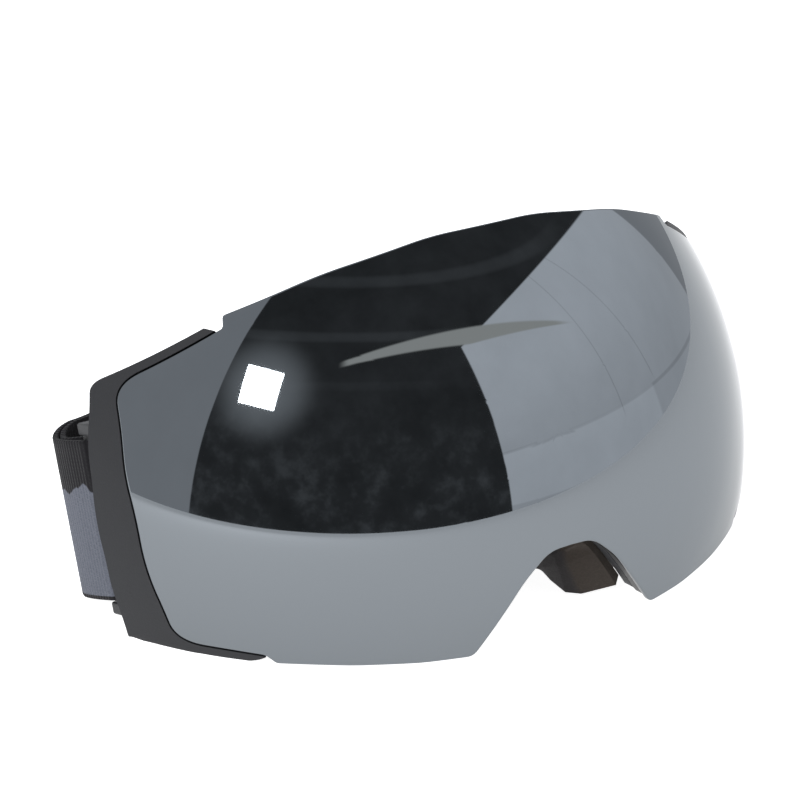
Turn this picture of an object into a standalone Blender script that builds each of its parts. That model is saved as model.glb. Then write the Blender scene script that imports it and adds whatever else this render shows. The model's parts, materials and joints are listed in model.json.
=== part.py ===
"""Ski goggles: a magnetic spherical lens on a moulded frame, with face foam and an elastic strap.

The goggles stand on a table on their flat lower edge, which leans the lens back. All pieces are
drawn in the goggles' own frame (x to the wearer's left, y to the back, z up, origin at the centre of
the lens's sphere) and hang from the empty "stand", which leans and lifts them. Dimensions are in
millimetres until a mesh is made, and Blender's own units are metres.
"""

import math

import bmesh
import bpy
import numpy as np
from mathutils import Matrix, Vector

MM = 0.001

# Pose on the table
LEAN = math.radians(19.4)  # how far the lens leans back
CENTRE_HEIGHT = 8.9  # the lens's centre above the table
CENTRE_Y = 49.954  # the lens's centre behind the middle of the whole object
LENS_CLEARANCE = 0.3  # lens and its stack above the table

# Lens stack, as radii about the lens's centre
LENS_RADIUS = 100.0
OUTER_LENS_BACK = 98.4
CARRIER_FRONT, CARRIER_BACK = 97.8, 95.2
SEAL_BACK = 94.6
INNER_LENS_FRONT, INNER_LENS_BACK = 93.4, 92.6

# Front frame
CHEEK_FRONT, CHEEK_BACK = 99.7, 92.6
SEAT_FRONT, SEAT_BACK = 94.5, 91.9
RIM_START, RIM_END = 0.6, 5.6  # carrier's band, measured in from the lens's edge
SEAL_START, SEAL_END = 6.0, 9.5
INNER_LENS_INSET = 6.1

# Magnets and locating pegs, both under the rim
MAGNET_LENGTH, MAGNET_WIDTH, MAGNET_THICKNESS = 8.0, 3.4, 1.5
MAGNET_POCKET_GAP = 0.3
MAGNET_POSITIONS = ((14.0, 1), (46.0, 1), (31.0, -1), (55.0, -1))  # x, and above (1) or below (-1)
PEG_POSITIONS = ((30.0, 1), (44.0, -1))
PEG_RADIUS, PEG_HOLE_RADIUS, PEG_REACH = 1.1, 1.6, 2.3
RIM_MIDDLE = 3.1

# Face side: the foam follows a cylinder about an upright axis behind the lens's centre
FACE_AXIS_Y = 48.0
FLANGE_RADIUS = 111.0
FLANGE_FRONT_RADIUS = 91.2
FLANGE_WALL = 2.0
FLANGE_LIP = 10.0
# Nose pad on the notch side of the flange: share of the wall's depth, half-width and drop at its foot
NOSE_PAD = (
    (0.05, 18.6, 3.4),
    (0.16, 11.3, 4.2),
    (0.31, 10.0, 4.0),
    (0.60, 11.0, 1.8),
    (0.94, 13.0, 2.1),
)
NOSE_SPREAD = math.radians(29.5)  # half the arch's angle
NOSE_PAD_GAP, NOSE_CEILING_DROP, NOSE_STATIONS = 1.2, 2.1, 37

FOAM_WIDTH = 11.0
FOAM_LAYERS = (
    ("face_foam_firm", 110.0, 104.6),
    ("face_foam_soft", 103.5, 97.6),
    ("face_fleece", 96.7, 95.3),
)

# Vents in the flange's walls
TOP_VENTS_X = (-46.0, -23.0, 0.0, 23.0, 46.0)
LOWER_VENTS_X = (33.0, 54.0)
VENT_LENGTH, VENT_WIDTH, VENT_CUT_DEPTH = 15.0, 7.0, 9.0
VENT_FOAM_GAP, VENT_FOAM_THICKNESS = 0.5, 1.5

# Strap: it comes back from a bar behind each cheek, turns in and crosses behind the foam
STRAP_WIDTH, STRAP_THICKNESS = 38.0, 1.5
LAYER_GAP = 0.3
LAYER_STEP = STRAP_THICKNESS + LAYER_GAP
BAR_X, BAR_FORWARD, BAR_RADIUS = 84.0, 33.8, 1.6
BAR_LOW = -16.4  # the strap's lower edge at the bar
TURN_X, TURN_FORWARD, TURN_RADIUS = 78.4, 24.0, 9.5  # the turn, about an axis along z
TURN_LOW = -13.8  # the lower edge at the turn's end, just clear of the table
REAR_X, REAR_LOW = 64.0, -10.2  # from here on the sliders hold the strap off the table
REAR_FORWARD = TURN_FORWARD - TURN_RADIUS
EAR_THICKNESS, EAR_GAP = 3.0, 0.8

# Sliders, which travel along x
SLIDER_X, SLIDER_HALF, SLIDER_TRAVEL = 42.0, 11.0, 10.0
SLIDER_BAR, SLIDER_END = 3.2, 3.6  # widths of the middle bar and the end bars
SLIDER_RAIL, SLIDER_GAP = 2.4, 0.4
SHELL_THICKNESS = 1.6
RETURN_END_X = SLIDER_X + SLIDER_TRAVEL + SLIDER_BAR / 2 + 0.8
TAIL_LENGTH = 17.0

# Modelling
CENTRE_U = 8.0  # the outlines are read at angles about this point, straight above the nose
COARSE_ARC, COARSE_EDGE = math.radians(16), 11.0
FINE_ARC, FINE_EDGE = math.radians(6), 1.5
SPHERE_GRID = math.radians(7.0)

# Half outlines, from the middle of the brow to the middle of the nose: x, height, corner radius.
# Heights and widths are those of a straight-on front view of the lens's sphere.
NOSE = ((12.5, -25.2, 30), (6.0, -19.7, 10), (0.0, -19.5, 0))
LENS_OUTLINE = (
    (0.0, 54.8, 0),
    (14.0, 54.8, 80),
    (40.0, 51.2, 100),
    (60.3, 45.9, 1.0),
    (61.2, 43.2, 1.0),
    (81.5, 34.0, 9),
    (84.8, 14.0, 60),
    (84.8, -8.0, 60),
    (80.8, -25.6, 9),
    (66.3, -31.3, 2),
    (64.4, -33.6, 1.2),
    (50.0, -36.9, 100),
    (36.0, -39.3, 60),
    (24.6, -40.4, 2.5),
    *NOSE,
)
SEAT_OUTLINE = (
    (0.0, 54.4, 0),
    (14.0, 54.4, 80),
    (40.0, 50.8, 100),
    (60.4, 45.1, 3),
    (83.5, 34.2, 5),
    (87.6, 21.0, 60),
    (89.6, 4.0, 80),
    (88.9, -12.0, 60),
    (86.3, -24.6, 5),
    (65.4, -32.4, 2),
    (50.0, -36.5, 100),
    (36.0, -38.9, 60),
    (25.2, -39.7, 2.5),
    (12.9, -24.6, 30),
    (6.0, -19.1, 10),
    (0.0, -18.9, 0),
)
CHEEK_OUTLINE = (
    (0.0, 48.0, 0),
    (61.0, 45.2, 20),
    (84.6, 34.9, 5),
    (88.6, 21.0, 60),
    (90.5, 4.0, 80),
    (89.7, -12.0, 60),
    (87.2, -26.3, 5),
    (64.6, -34.0, 20),
    (0.0, -46.0, 0),
)
CHEEK_TOP, CHEEK_FOOT = math.radians(60.9), math.radians(121.0)  # where the cheeks start and end
LENS_GAP = 0.45
FLANGE_FRONT_OUTLINE = (
    (0.0, 52.7, 0),
    (14.0, 52.7, 80),
    (38.0, 49.3, 100),
    (61.0, 42.6, 20),
    (80.3, 32.6, 10),
    (84.0, 12.0, 60),
    (84.0, -8.0, 60),
    (79.3, -24.2, 9),
    (64.5, -31.0, 6),
    (50.0, -34.9, 100),
    (36.0, -37.2, 60),
    (26.6, -37.8, 3),
    (14.0, -23.2, 28),
    (6.6, -17.7, 10),
    (0.0, -17.4, 0),
)
FLANGE_BACK_OUTLINE = (
    (0.0, 43.0, 0),
    (34.0, 43.0, 120),
    (62.0, 33.0, 22),
    (75.0, 12.0, 30),
    (75.0, -6.0, 16),
    (62.0, -19.5, 18),
    (40.0, -24.5, 60),
    (13.5, -29.0, 3.5),
    (9.5, -12.0, 7),
    (0.0, -8.0, 0),
)
FOAM_OUTLINE = (
    (0.0, 42.6, 0),
    (34.0, 42.6, 120),
    (61.5, 32.6, 22),
    (74.5, 12.0, 30),
    (74.5, -5.0, 16),
    (61.0, -17.0, 18),
    (40.0, -21.8, 60),
    (17.0, -24.0, 5),
    (9.8, -11.5, 7),
    (0.0, -7.6, 0),
)

STAND_MATRIX = Matrix.Translation((0, CENTRE_Y * MM, CENTRE_HEIGHT * MM)) @ Matrix.Rotation(-LEAN, 4, "X")


# ---------------------------------------------------------------- outlines


def rounded(corners, arc, edge, closed=False):
    """Points along a polygon whose corners are rounded to their radii."""
    n = len(corners)
    made = []
    for i, (x, u, radius) in enumerate(corners):
        here = Vector((x, u))
        if not closed and i in (0, n - 1):
            made.append(here)
            continue
        before = Vector(corners[i - 1][:2]) - here
        after = Vector(corners[(i + 1) % n][:2]) - here
        turn = math.pi - before.angle(after)
        reach = min(radius * math.tan(turn / 2), 0.48 * before.length, 0.48 * after.length)
        start = here + before.normalized() * reach
        end = here + after.normalized() * reach
        steps = max(1, math.ceil(turn / arc), math.ceil((end - start).length / edge))
        for k in range(steps + 1):
            t = k / steps
            made.append(start * (1 - t) ** 2 + here * 2 * t * (1 - t) + end * t**2)
    if closed:
        made.append(made[0])
    points = [made[0]]
    for a, b in zip(made, made[1:]):
        cuts = max(1, math.ceil((b - a).length / edge))
        points += [a.lerp(b, (k + 1) / cuts) for k in range(cuts)]
    if closed:
        points.pop()
    return np.array([tuple(p) for p in points])


def whole(half, arc, edge):
    """A closed outline from its half: down the wearer's left, then up the right."""
    right = rounded(half, arc, edge)
    left = right[-2:0:-1] * (-1, 1)
    return np.vstack([right, left])


def bearings(points):
    """The angle of each point about the outlines' centre, growing from 0 at the brow."""
    angle = np.arctan2(points[:, 0], points[:, 1] - CENTRE_U)
    return np.where(angle < -1e-9, angle + 2 * math.pi, angle)


def read_at(outline, angles):
    """Where rays from the centre at these angles cross a closed outline."""
    centre = np.array([0.0, CENTRE_U])
    order = np.argsort(bearings(outline))
    ring = outline[order]
    ring = np.vstack([ring[-1], ring, ring[0]])
    known = bearings(ring)
    known[0] -= 2 * math.pi
    known[-1] += 2 * math.pi
    place = np.clip(np.searchsorted(known, angles, side="right"), 1, len(ring) - 1)
    a, b = ring[place - 1] - centre, ring[place] - centre
    ray = np.column_stack([np.sin(angles), np.cos(angles)])
    across = b - a
    top = a[:, 0] * across[:, 1] - a[:, 1] * across[:, 0]
    low = ray[:, 0] * across[:, 1] - ray[:, 1] * across[:, 0]
    return centre + ray * (top / low)[:, None]


def forward_of(points):
    """How far forward of its centre the lens's sphere is at these front-view points."""
    return np.sqrt(LENS_RADIUS**2 - (points**2).sum(axis=1))


def on_sphere(points, radius):
    """Front-view points carried to a sphere of another radius, along the lens's radii."""
    full = np.column_stack([points[:, 0], -forward_of(points), points[:, 1]])
    return full * (radius / LENS_RADIUS)


def keep_clear(moved, original, distance):
    """The moved points that are no nearer the original line than the distance they moved."""
    gaps = np.linalg.norm(moved[:, None, :] - original[None, :, :], axis=2).min(axis=1)
    return moved[gaps > 0.985 * distance]


def inset_on_sphere(outline, distance):
    """An outline moved inwards over the lens's sphere by a distance."""
    points = on_sphere(outline, LENS_RADIUS)
    along = np.roll(points, -1, axis=0) - np.roll(points, 1, axis=0)
    inward = np.cross(along, points)
    inward /= np.linalg.norm(inward, axis=1)[:, None]
    moved = points + inward * distance
    moved *= LENS_RADIUS / np.linalg.norm(moved, axis=1)[:, None]
    return keep_clear(moved, points, distance)[:, [0, 2]]


def inset_on_face(outline, distance):
    """An outline moved inwards over the face cylinder, which is unrolled for it."""
    flat = outline.copy()
    flat[:, 0] = FLANGE_RADIUS * np.arcsin(outline[:, 0] / FLANGE_RADIUS)
    along = np.roll(flat, -1, axis=0) - np.roll(flat, 1, axis=0)
    inward = np.column_stack([along[:, 1], -along[:, 0]])
    inward /= np.linalg.norm(inward, axis=1)[:, None]
    moved = keep_clear(flat + inward * distance, flat, distance)
    moved[:, 0] = FLANGE_RADIUS * np.sin(moved[:, 0] / FLANGE_RADIUS)
    return moved


def on_face(points, radius):
    """Points of the flange's outline carried to another radius about the face cylinder's axis."""
    turn = np.arcsin(points[:, 0] / FLANGE_RADIUS)
    y = FACE_AXIS_Y - radius * np.cos(turn)
    return np.column_stack([radius * np.sin(turn), y, points[:, 1]])


LENS_FINE = whole(LENS_OUTLINE, FINE_ARC, FINE_EDGE)
LENS_COARSE = whole(LENS_OUTLINE, COARSE_ARC, COARSE_EDGE)
STATIONS = bearings(LENS_COARSE)
FLANGE_FRONT_FINE = whole(FLANGE_FRONT_OUTLINE, FINE_ARC, FINE_EDGE)
FLANGE_BACK_FINE = whole(FLANGE_BACK_OUTLINE, FINE_ARC, FINE_EDGE)
FOAM_FINE = whole(FOAM_OUTLINE, FINE_ARC, FINE_EDGE)


def rim_line(inset):
    """The lens's edge moved in, read at the stations."""
    return read_at(inset_on_sphere(LENS_FINE, inset), STATIONS)


# ---------------------------------------------------------------- scene helpers


def clear_scene():
    for obj in list(bpy.data.objects):
        bpy.data.objects.remove(obj)


def new_collection(name):
    made = bpy.data.collections.new(name)
    bpy.context.scene.collection.children.link(made)
    return made


def new_material(name, colour, roughness, metallic=0.0, alpha=1.0):
    made = bpy.data.materials.new(name)
    made.use_nodes = True
    shader = made.node_tree.nodes["Principled BSDF"]
    shader.inputs["Base Color"].default_value = (*colour, 1)
    shader.inputs["Roughness"].default_value = roughness
    shader.inputs["Metallic"].default_value = metallic
    shader.inputs["Alpha"].default_value = alpha
    return made


clear_scene()
GOGGLES = new_collection("ski_goggles")
CUTTERS = new_collection("cutters")
STAND = bpy.data.objects.new("stand", None)
GOGGLES.objects.link(STAND)
STAND.matrix_world = STAND_MATRIX

MIRROR_LENS = new_material("mirror_lens", (0.62, 0.65, 0.67), 0.05, 1.0)
CLEAR_LENS = new_material("clear_lens", (0.75, 0.78, 0.80), 0.08, 0.0, 0.35)
DARK_PLASTIC = new_material("dark_plastic", (0.055, 0.055, 0.062), 0.6)
BLACK_PLASTIC = new_material("black_plastic", (0.02, 0.02, 0.022), 0.55)
MAGNET_STEEL = new_material("magnet_steel", (0.55, 0.55, 0.56), 0.3, 1.0)
BLACK_FOAM = new_material("black_foam", (0.03, 0.028, 0.027), 0.95)
STRAP_WEAVE = new_material("strap_weave", (0.30, 0.32, 0.35), 0.9)


def add_mesh(name, bm, material, own_frame=True, collection=None):
    """Turns a bmesh in millimetres into an object, in the goggles' frame or the world's."""
    bmesh.ops.recalc_face_normals(bm, faces=bm.faces)
    if bm.calc_volume(signed=True) < 0:
        bmesh.ops.reverse_faces(bm, faces=bm.faces)
    bmesh.ops.scale(bm, vec=(MM, MM, MM), verts=bm.verts)
    mesh = bpy.data.meshes.new(name)
    bm.to_mesh(mesh)
    bm.free()
    obj = bpy.data.objects.new(name, mesh)
    (collection or GOGGLES).objects.link(obj)
    if material:
        mesh.materials.append(material)
    if own_frame:
        obj.parent = STAND
    if collection is CUTTERS:
        obj.hide_render = True
        obj.display_type = "WIRE"
    return obj


def combine(obj, other, operation):
    """Adds a Boolean of another object, which then counts as a tool and not as a piece."""
    modifier = obj.modifiers.new(operation.lower(), "BOOLEAN")
    modifier.operation = operation
    modifier.object = other
    if other.name in GOGGLES.objects:
        GOGGLES.objects.unlink(other)
        CUTTERS.objects.link(other)
    other.hide_render = True
    other.display_type = "WIRE"


# ---------------------------------------------------------------- shapes


def loft(name, loops, material, around=True, own_frame=True):
    """A solid whose section's corners run along the loops, closed into a ring or with flat ends."""
    bm = bmesh.new()
    rows = [[bm.verts.new(p) for p in loop] for loop in loops]
    count = len(rows[0])
    for low, high in zip(rows, rows[1:] + rows[:1]):
        for k in range(count if around else count - 1):
            m = (k + 1) % count
            bm.faces.new((low[k], low[m], high[m], high[k]))
    if not around:
        bm.faces.new([row[0] for row in rows])
        bm.faces.new([row[-1] for row in rows])
    return add_mesh(name, bm, material, own_frame)


def radial_block(name, outline, front, back, material, grid=False):
    """A slab of a spherical shell with this front-view outline and edges along the radii."""
    bm = bmesh.new()
    bm.faces.new([bm.verts.new((x, 0, u)) for x, u in outline])
    if grid:
        reach = int(math.radians(66) / SPHERE_GRID)
        for k in range(-reach, reach + 1):
            at = LENS_RADIUS * math.sin(k * SPHERE_GRID)
            for point, normal in (((at, 0, 0), (1, 0, 0)), ((0, 0, at), (0, 0, 1))):
                geometry = bm.verts[:] + bm.edges[:] + bm.faces[:]
                bmesh.ops.bisect_plane(bm, geom=geometry, plane_co=point, plane_no=normal)
    bmesh.ops.triangulate(bm, faces=bm.faces)
    front_verts = bm.verts[:]
    made = bmesh.ops.extrude_face_region(bm, geom=bm.faces[:], use_keep_orig=True)
    back_verts = [v for v in made["geom"] if isinstance(v, bmesh.types.BMVert)]
    for verts, radius in ((front_verts, front), (back_verts, back)):
        flat = np.array([(v.co.x, v.co.z) for v in verts])
        for v, place in zip(verts, on_sphere(flat, radius)):
            v.co = place
    return add_mesh(name, bm, material)


def ring_on_sphere(name, outer, inner, front, back, material):
    loops = [(outer, front), (inner, front), (inner, back), (outer, back)]
    return loft(name, [on_sphere(line, radius) for line, radius in loops], material)


def rim_place(x, level, radius):
    """Centre and axes (along, across, out) on the rim's middle line, above or below the eyes."""
    line = inset_on_sphere(LENS_FINE, RIM_MIDDLE)
    line = line[(np.sign(line[:, 1] - CENTRE_U) == level) & (line[:, 0] > 0)]
    nearest = np.abs(line[:, 0] - abs(x)).argmin()
    flip = np.array([math.copysign(1.0, x), 1.0, 1.0])
    here, before, after = on_sphere(line[[nearest, nearest - 1, nearest + 1]], radius) * flip
    out = Vector(here).normalized()
    along = Vector(after - before).normalized()
    across = out.cross(along).normalized()
    return Vector(here), Matrix((across.cross(out), across, out)).transposed()


def box_at(bm, centre, axes, size):
    """Adds a box with its own axes to a bmesh."""
    matrix = Matrix.Translation(centre) @ axes.to_4x4() @ Matrix.Diagonal((*size, 1))
    bmesh.ops.create_cube(bm, size=1, matrix=matrix)


def cylinder_at(bm, start, end, radius, segments=16):
    """Adds a cylinder between two points to a bmesh."""
    span = Vector(end) - Vector(start)
    turn = span.to_track_quat("Z", "Y").to_matrix().to_4x4()
    matrix = Matrix.Translation((Vector(start) + Vector(end)) / 2) @ turn
    bmesh.ops.create_cone(
        bm,
        segments=segments,
        radius1=radius,
        radius2=radius,
        depth=span.length,
        cap_ends=True,
        matrix=matrix,
    )


def magnet_places():
    return [(side * x, level) for x, level in MAGNET_POSITIONS for side in (1, -1)]


def peg_places():
    return [(side * x, level) for x, level in PEG_POSITIONS for side in (1, -1)]


def table_cutter(name, height):
    """A block whose top face lies at a height over the table."""
    bm = bmesh.new()
    place = Matrix.Translation((0, 0, height - 20)) @ Matrix.Diagonal((400, 400, 40, 1))
    bmesh.ops.create_cube(bm, size=1, matrix=place)
    return add_mesh(name, bm, None, own_frame=False, collection=CUTTERS)


# ---------------------------------------------------------------- lens assembly


def build_magnets(prefix, middle_radius):
    for number, (x, level) in enumerate(magnet_places(), start=1):
        centre, axes = rim_place(x, level, middle_radius)
        bm = bmesh.new()
        box_at(bm, centre, axes, (MAGNET_LENGTH, MAGNET_WIDTH, MAGNET_THICKNESS))
        add_mesh(f"{prefix}_{number}", bm, MAGNET_STEEL)


def magnet_pockets(name, middle_radius, open_towards):
    """Boxes a little larger than the magnets, which break out of the ring on one side."""
    bm = bmesh.new()
    grow = 2 * MAGNET_POCKET_GAP
    for x, level in magnet_places():
        centre, axes = rim_place(x, level, middle_radius + open_towards * 1.5)
        box_at(bm, centre, axes, (MAGNET_LENGTH + grow, MAGNET_WIDTH + grow, MAGNET_THICKNESS + grow + 3.0))
    return add_mesh(name, bm, None, collection=CUTTERS)


def build_pegs(name, radius, ahead, reach):
    """Rods along the way the lens comes off, through the middle of the rim."""
    bm = bmesh.new()
    for x, level in peg_places():
        centre, _ = rim_place(x, level, (CARRIER_BACK + CARRIER_FRONT) / 2)
        back_face, _ = rim_place(x, level, CARRIER_BACK)
        cylinder_at(bm, centre - Vector((0, ahead, 0)), back_face + Vector((0, reach, 0)), radius)
    return add_mesh(name, bm, None, collection=CUTTERS)


def build_lens(clear_of_table):
    outer = radial_block("outer_lens", LENS_COARSE, LENS_RADIUS, OUTER_LENS_BACK, MIRROR_LENS, grid=True)
    combine(outer, clear_of_table, "DIFFERENCE")
    inner_edge = rim_line(INNER_LENS_INSET)
    radial_block("inner_lens", inner_edge, INNER_LENS_FRONT, INNER_LENS_BACK, CLEAR_LENS, grid=True)
    ring_on_sphere(
        "lens_spacer_seal", rim_line(SEAL_START), rim_line(SEAL_END), CARRIER_FRONT, SEAL_BACK, BLACK_FOAM
    )
    carrier = ring_on_sphere(
        "lens_carrier", rim_line(RIM_START), rim_line(RIM_END), CARRIER_FRONT, CARRIER_BACK, BLACK_PLASTIC
    )
    combine(carrier, build_pegs("carrier_pegs", PEG_RADIUS, 0.0, PEG_REACH), "UNION")
    magnet_middle = CARRIER_BACK + 0.2 + MAGNET_THICKNESS / 2
    combine(carrier, magnet_pockets("carrier_pockets", magnet_middle, -1), "DIFFERENCE")
    combine(carrier, clear_of_table, "DIFFERENCE")
    build_magnets("lens_magnet", magnet_middle)


# ---------------------------------------------------------------- frame


def cheek(name, side):
    """The raised side of the frame, from the lens's edge to the outside of the goggles."""
    between = STATIONS[(STATIONS > CHEEK_TOP + 0.02) & (STATIONS < CHEEK_FOOT - 0.02)]
    angles = np.concatenate([[CHEEK_TOP], between, [CHEEK_FOOT]])
    outer = read_at(whole(CHEEK_OUTLINE, FINE_ARC, FINE_EDGE), angles) * (side, 1)
    pocket = read_at(inset_on_sphere(LENS_FINE, -LENS_GAP), angles) * (side, 1)
    lines = ((pocket, CHEEK_FRONT), (outer, CHEEK_FRONT), (outer, CHEEK_BACK), (pocket, CHEEK_BACK))
    return loft(name, [on_sphere(line, radius) for line, radius in lines], DARK_PLASTIC, around=False)


def strap_ears(name, side):
    """Two blocks on the back of the cheek that hold the ends of the strap bar."""
    bm = bmesh.new()
    back, front = BAR_FORWARD - 2.8, BAR_FORWARD + 10.5
    for low in (BAR_LOW - EAR_GAP - EAR_THICKNESS, BAR_LOW + STRAP_WIDTH + EAR_GAP):
        centre = (side * BAR_X, -(back + front) / 2, low + EAR_THICKNESS / 2)
        box_at(bm, centre, Matrix.Identity(3), (5.2, front - back, EAR_THICKNESS))
    return add_mesh(name, bm, DARK_PLASTIC)


def bar_ends(side, spare):
    """The strap bar's end points, with some spare length at each."""
    reach = EAR_GAP + EAR_THICKNESS - 0.5 + spare
    low, high = BAR_LOW - reach, BAR_LOW + STRAP_WIDTH + reach
    return (side * BAR_X, -BAR_FORWARD, low), (side * BAR_X, -BAR_FORWARD, high)


def build_front_frame(table):
    seat_edge = read_at(whole(SEAT_OUTLINE, FINE_ARC, FINE_EDGE), STATIONS)
    frame = ring_on_sphere("front_frame", seat_edge, rim_line(RIM_END), SEAT_FRONT, SEAT_BACK, DARK_PLASTIC)
    magnet_middle = SEAT_FRONT - 0.2 - MAGNET_THICKNESS / 2
    bar_holes = bmesh.new()
    for label, side in (("left", 1), ("right", -1)):
        combine(frame, cheek(f"cheek_{label}", side), "UNION")
        combine(frame, strap_ears(f"ears_{label}", side), "UNION")
        cylinder_at(bar_holes, *bar_ends(side, 4.0), BAR_RADIUS + 0.3)
        bar = bmesh.new()
        cylinder_at(bar, *bar_ends(side, 0.0), BAR_RADIUS)
        add_mesh(f"strap_bar_{label}", bar, MAGNET_STEEL)
    holes = add_mesh("bar_holes", bar_holes, None, collection=CUTTERS)
    combine(frame, holes, "DIFFERENCE")
    combine(frame, magnet_pockets("frame_pockets", magnet_middle, 1), "DIFFERENCE")
    combine(frame, build_pegs("peg_holes", PEG_HOLE_RADIUS, 3.0, 8.0), "DIFFERENCE")
    combine(frame, table, "DIFFERENCE")
    build_magnets("frame_magnet", magnet_middle)


def flange_wall(front_inset, back_inset):
    """The flange wall's front and back lines, moved in from its outside."""
    front = FLANGE_FRONT_FINE if front_inset == 0 else inset_on_sphere(FLANGE_FRONT_FINE, front_inset)
    back = FLANGE_BACK_FINE if back_inset == 0 else inset_on_face(FLANGE_BACK_FINE, back_inset)
    return read_at(front, STATIONS), read_at(back, STATIONS)


def vent_windows():
    """Blocks that cut the vent windows through the brow and cheek walls."""
    front, back = flange_wall(0, 0)
    front3, back3 = on_sphere(front, FLANGE_FRONT_RADIUS), on_face(back, FLANGE_RADIUS)
    middle = (front3 + back3) / 2
    bm = bmesh.new()
    wanted = [(x, 1) for x in TOP_VENTS_X] + [(s * x, -1) for x in LOWER_VENTS_X for s in (1, -1)]
    for x, level in wanted:
        line = np.flatnonzero(np.sign(middle[:, 2] - CENTRE_U) == level)
        k = line[np.abs(middle[line, 0] - x).argmin()]
        after = (k + 1) % len(middle)
        share = 0.0
        if abs(middle[after, 0] - middle[k, 0]) > 1e-6:
            share = (x - middle[k, 0]) / (middle[after, 0] - middle[k, 0])
        centre = Vector(middle[k] + (middle[after] - middle[k]) * share)
        along = Vector(middle[after] - middle[k - 1]).normalized()
        depth = Vector(back3[k] - front3[k]).normalized()
        across = along.cross(depth).normalized()
        axes = Matrix((along, across.cross(along), across)).transposed()
        box_at(bm, centre, axes, (VENT_LENGTH, VENT_WIDTH, VENT_CUT_DEPTH))
    return add_mesh("vent_windows", bm, None, collection=CUTTERS)


def build_flange(table):
    """The soft moulding that joins the front frame to the foam, with a lip for the foam."""
    outer_front, outer_back = flange_wall(0, 0)
    inner_front, inner_back = flange_wall(FLANGE_WALL, FLANGE_WALL)
    lip = read_at(inset_on_face(FLANGE_BACK_FINE, FLANGE_LIP), STATIONS)
    lip_front = FLANGE_RADIUS + FLANGE_WALL
    loops = [
        on_sphere(outer_front, FLANGE_FRONT_RADIUS),
        on_face(outer_back, FLANGE_RADIUS),
        on_face(lip, FLANGE_RADIUS),
        on_face(lip, lip_front),
        on_face(inner_back, lip_front),
        on_sphere(inner_front, FLANGE_FRONT_RADIUS),
    ]
    flange = loft("face_flange", loops, BLACK_PLASTIC)
    combine(flange, vent_windows(), "DIFFERENCE")
    combine(flange, table, "DIFFERENCE")


def nose_wall(share, turns):
    """Points of the flange's outside over the nose, at one share of its depth."""
    angles = math.pi + turns * NOSE_SPREAD
    front = on_sphere(read_at(FLANGE_FRONT_FINE, angles), FLANGE_FRONT_RADIUS)
    back = on_face(read_at(FLANGE_BACK_FINE, angles), FLANGE_RADIUS)
    return front * (1 - share) + back * share


def build_nose_pad(table):
    """A soft arch that lines the flange's notch and swells towards the nose at both feet."""
    turns = np.linspace(-1, 1, NOSE_STATIONS)
    outside, inside = [], []
    for share, half_width, drop in NOSE_PAD:
        wall = nose_wall(share, turns)
        foot = abs(wall[0, 0])
        near = wall * (1 - NOSE_PAD_GAP / foot, 1, 1) - (0, 0, NOSE_PAD_GAP)
        far = wall * (half_width / foot, 1, 1)
        far[:, 2] -= NOSE_CEILING_DROP + (drop - NOSE_CEILING_DROP) * turns**2
        outside.append(near)
        inside.append(far)
    bm = bmesh.new()
    rows = [[bm.verts.new(p) for p in line] for line in outside + inside[::-1]]
    for low, high in zip(rows, rows[1:] + rows[:1]):
        for k in range(NOSE_STATIONS - 1):
            bm.faces.new((low[k], low[k + 1], high[k + 1], high[k]))
    for k in range(len(NOSE_PAD) - 1):
        for end in (0, -1):
            bm.faces.new((rows[k][end], rows[k + 1][end], rows[-2 - k][end], rows[-1 - k][end]))
    pad = add_mesh("nose_pad", bm, BLACK_FOAM)
    combine(pad, table, "DIFFERENCE")


def vent_foam(name, chosen):
    """A thin mesh-foam strip against the inside of the flange wall, over a run of stations."""
    loops = []
    first, second = FLANGE_WALL + VENT_FOAM_GAP, FLANGE_WALL + VENT_FOAM_GAP + VENT_FOAM_THICKNESS
    for inset, shares in ((first, (0.1, 0.8)), (second, (0.8, 0.1))):
        front, back = flange_wall(inset, inset)
        front3 = on_sphere(front, FLANGE_FRONT_RADIUS)[chosen]
        back3 = on_face(back, FLANGE_RADIUS + FLANGE_WALL)[chosen]
        loops += [front3 + (back3 - front3) * share for share in shares]
    return loft(name, loops, BLACK_FOAM, around=False)


def build_vent_foams():
    stations = read_at(FLANGE_BACK_FINE, STATIONS)
    count = len(stations)
    brow = [k for k in range(-count // 2, count // 2) if abs(stations[k][0]) < 57 and stations[k][1] > 30]
    vent_foam("top_vent_foam", brow)
    for label, side in (("left", 1), ("right", -1)):
        low = [k for k in range(count) if 22 < side * stations[k][0] < 62 and stations[k][1] < -10]
        vent_foam(f"lower_vent_foam_{label}", low)


def build_foam():
    outer = read_at(FOAM_FINE, STATIONS)
    inner = read_at(inset_on_face(FOAM_FINE, FOAM_WIDTH), STATIONS)
    for name, front, back in FOAM_LAYERS:
        corners = ((outer, front), (inner, front), (inner, back), (outer, back))
        loft(name, [on_face(line, radius) for line, radius in corners], BLACK_FOAM)


# ---------------------------------------------------------------- strap


def smooth(t):
    t = min(1.0, max(0.0, t))
    return t * t * (3 - 2 * t)


def row(x, forward, low):
    """The strap's lower and upper edge points, which lie one above the other."""
    return [np.array([x, -forward, z]) for z in (low, low + STRAP_WIDTH)]


def wrap_rows(radius, steps=8):
    """Round the front of the strap bar, from its inner side to its outer side."""
    turns = [math.pi * (1 - k / steps) for k in range(steps + 1)]
    return [row(BAR_X + radius * math.cos(t), BAR_FORWARD + radius * math.sin(t), BAR_LOW) for t in turns]


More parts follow.
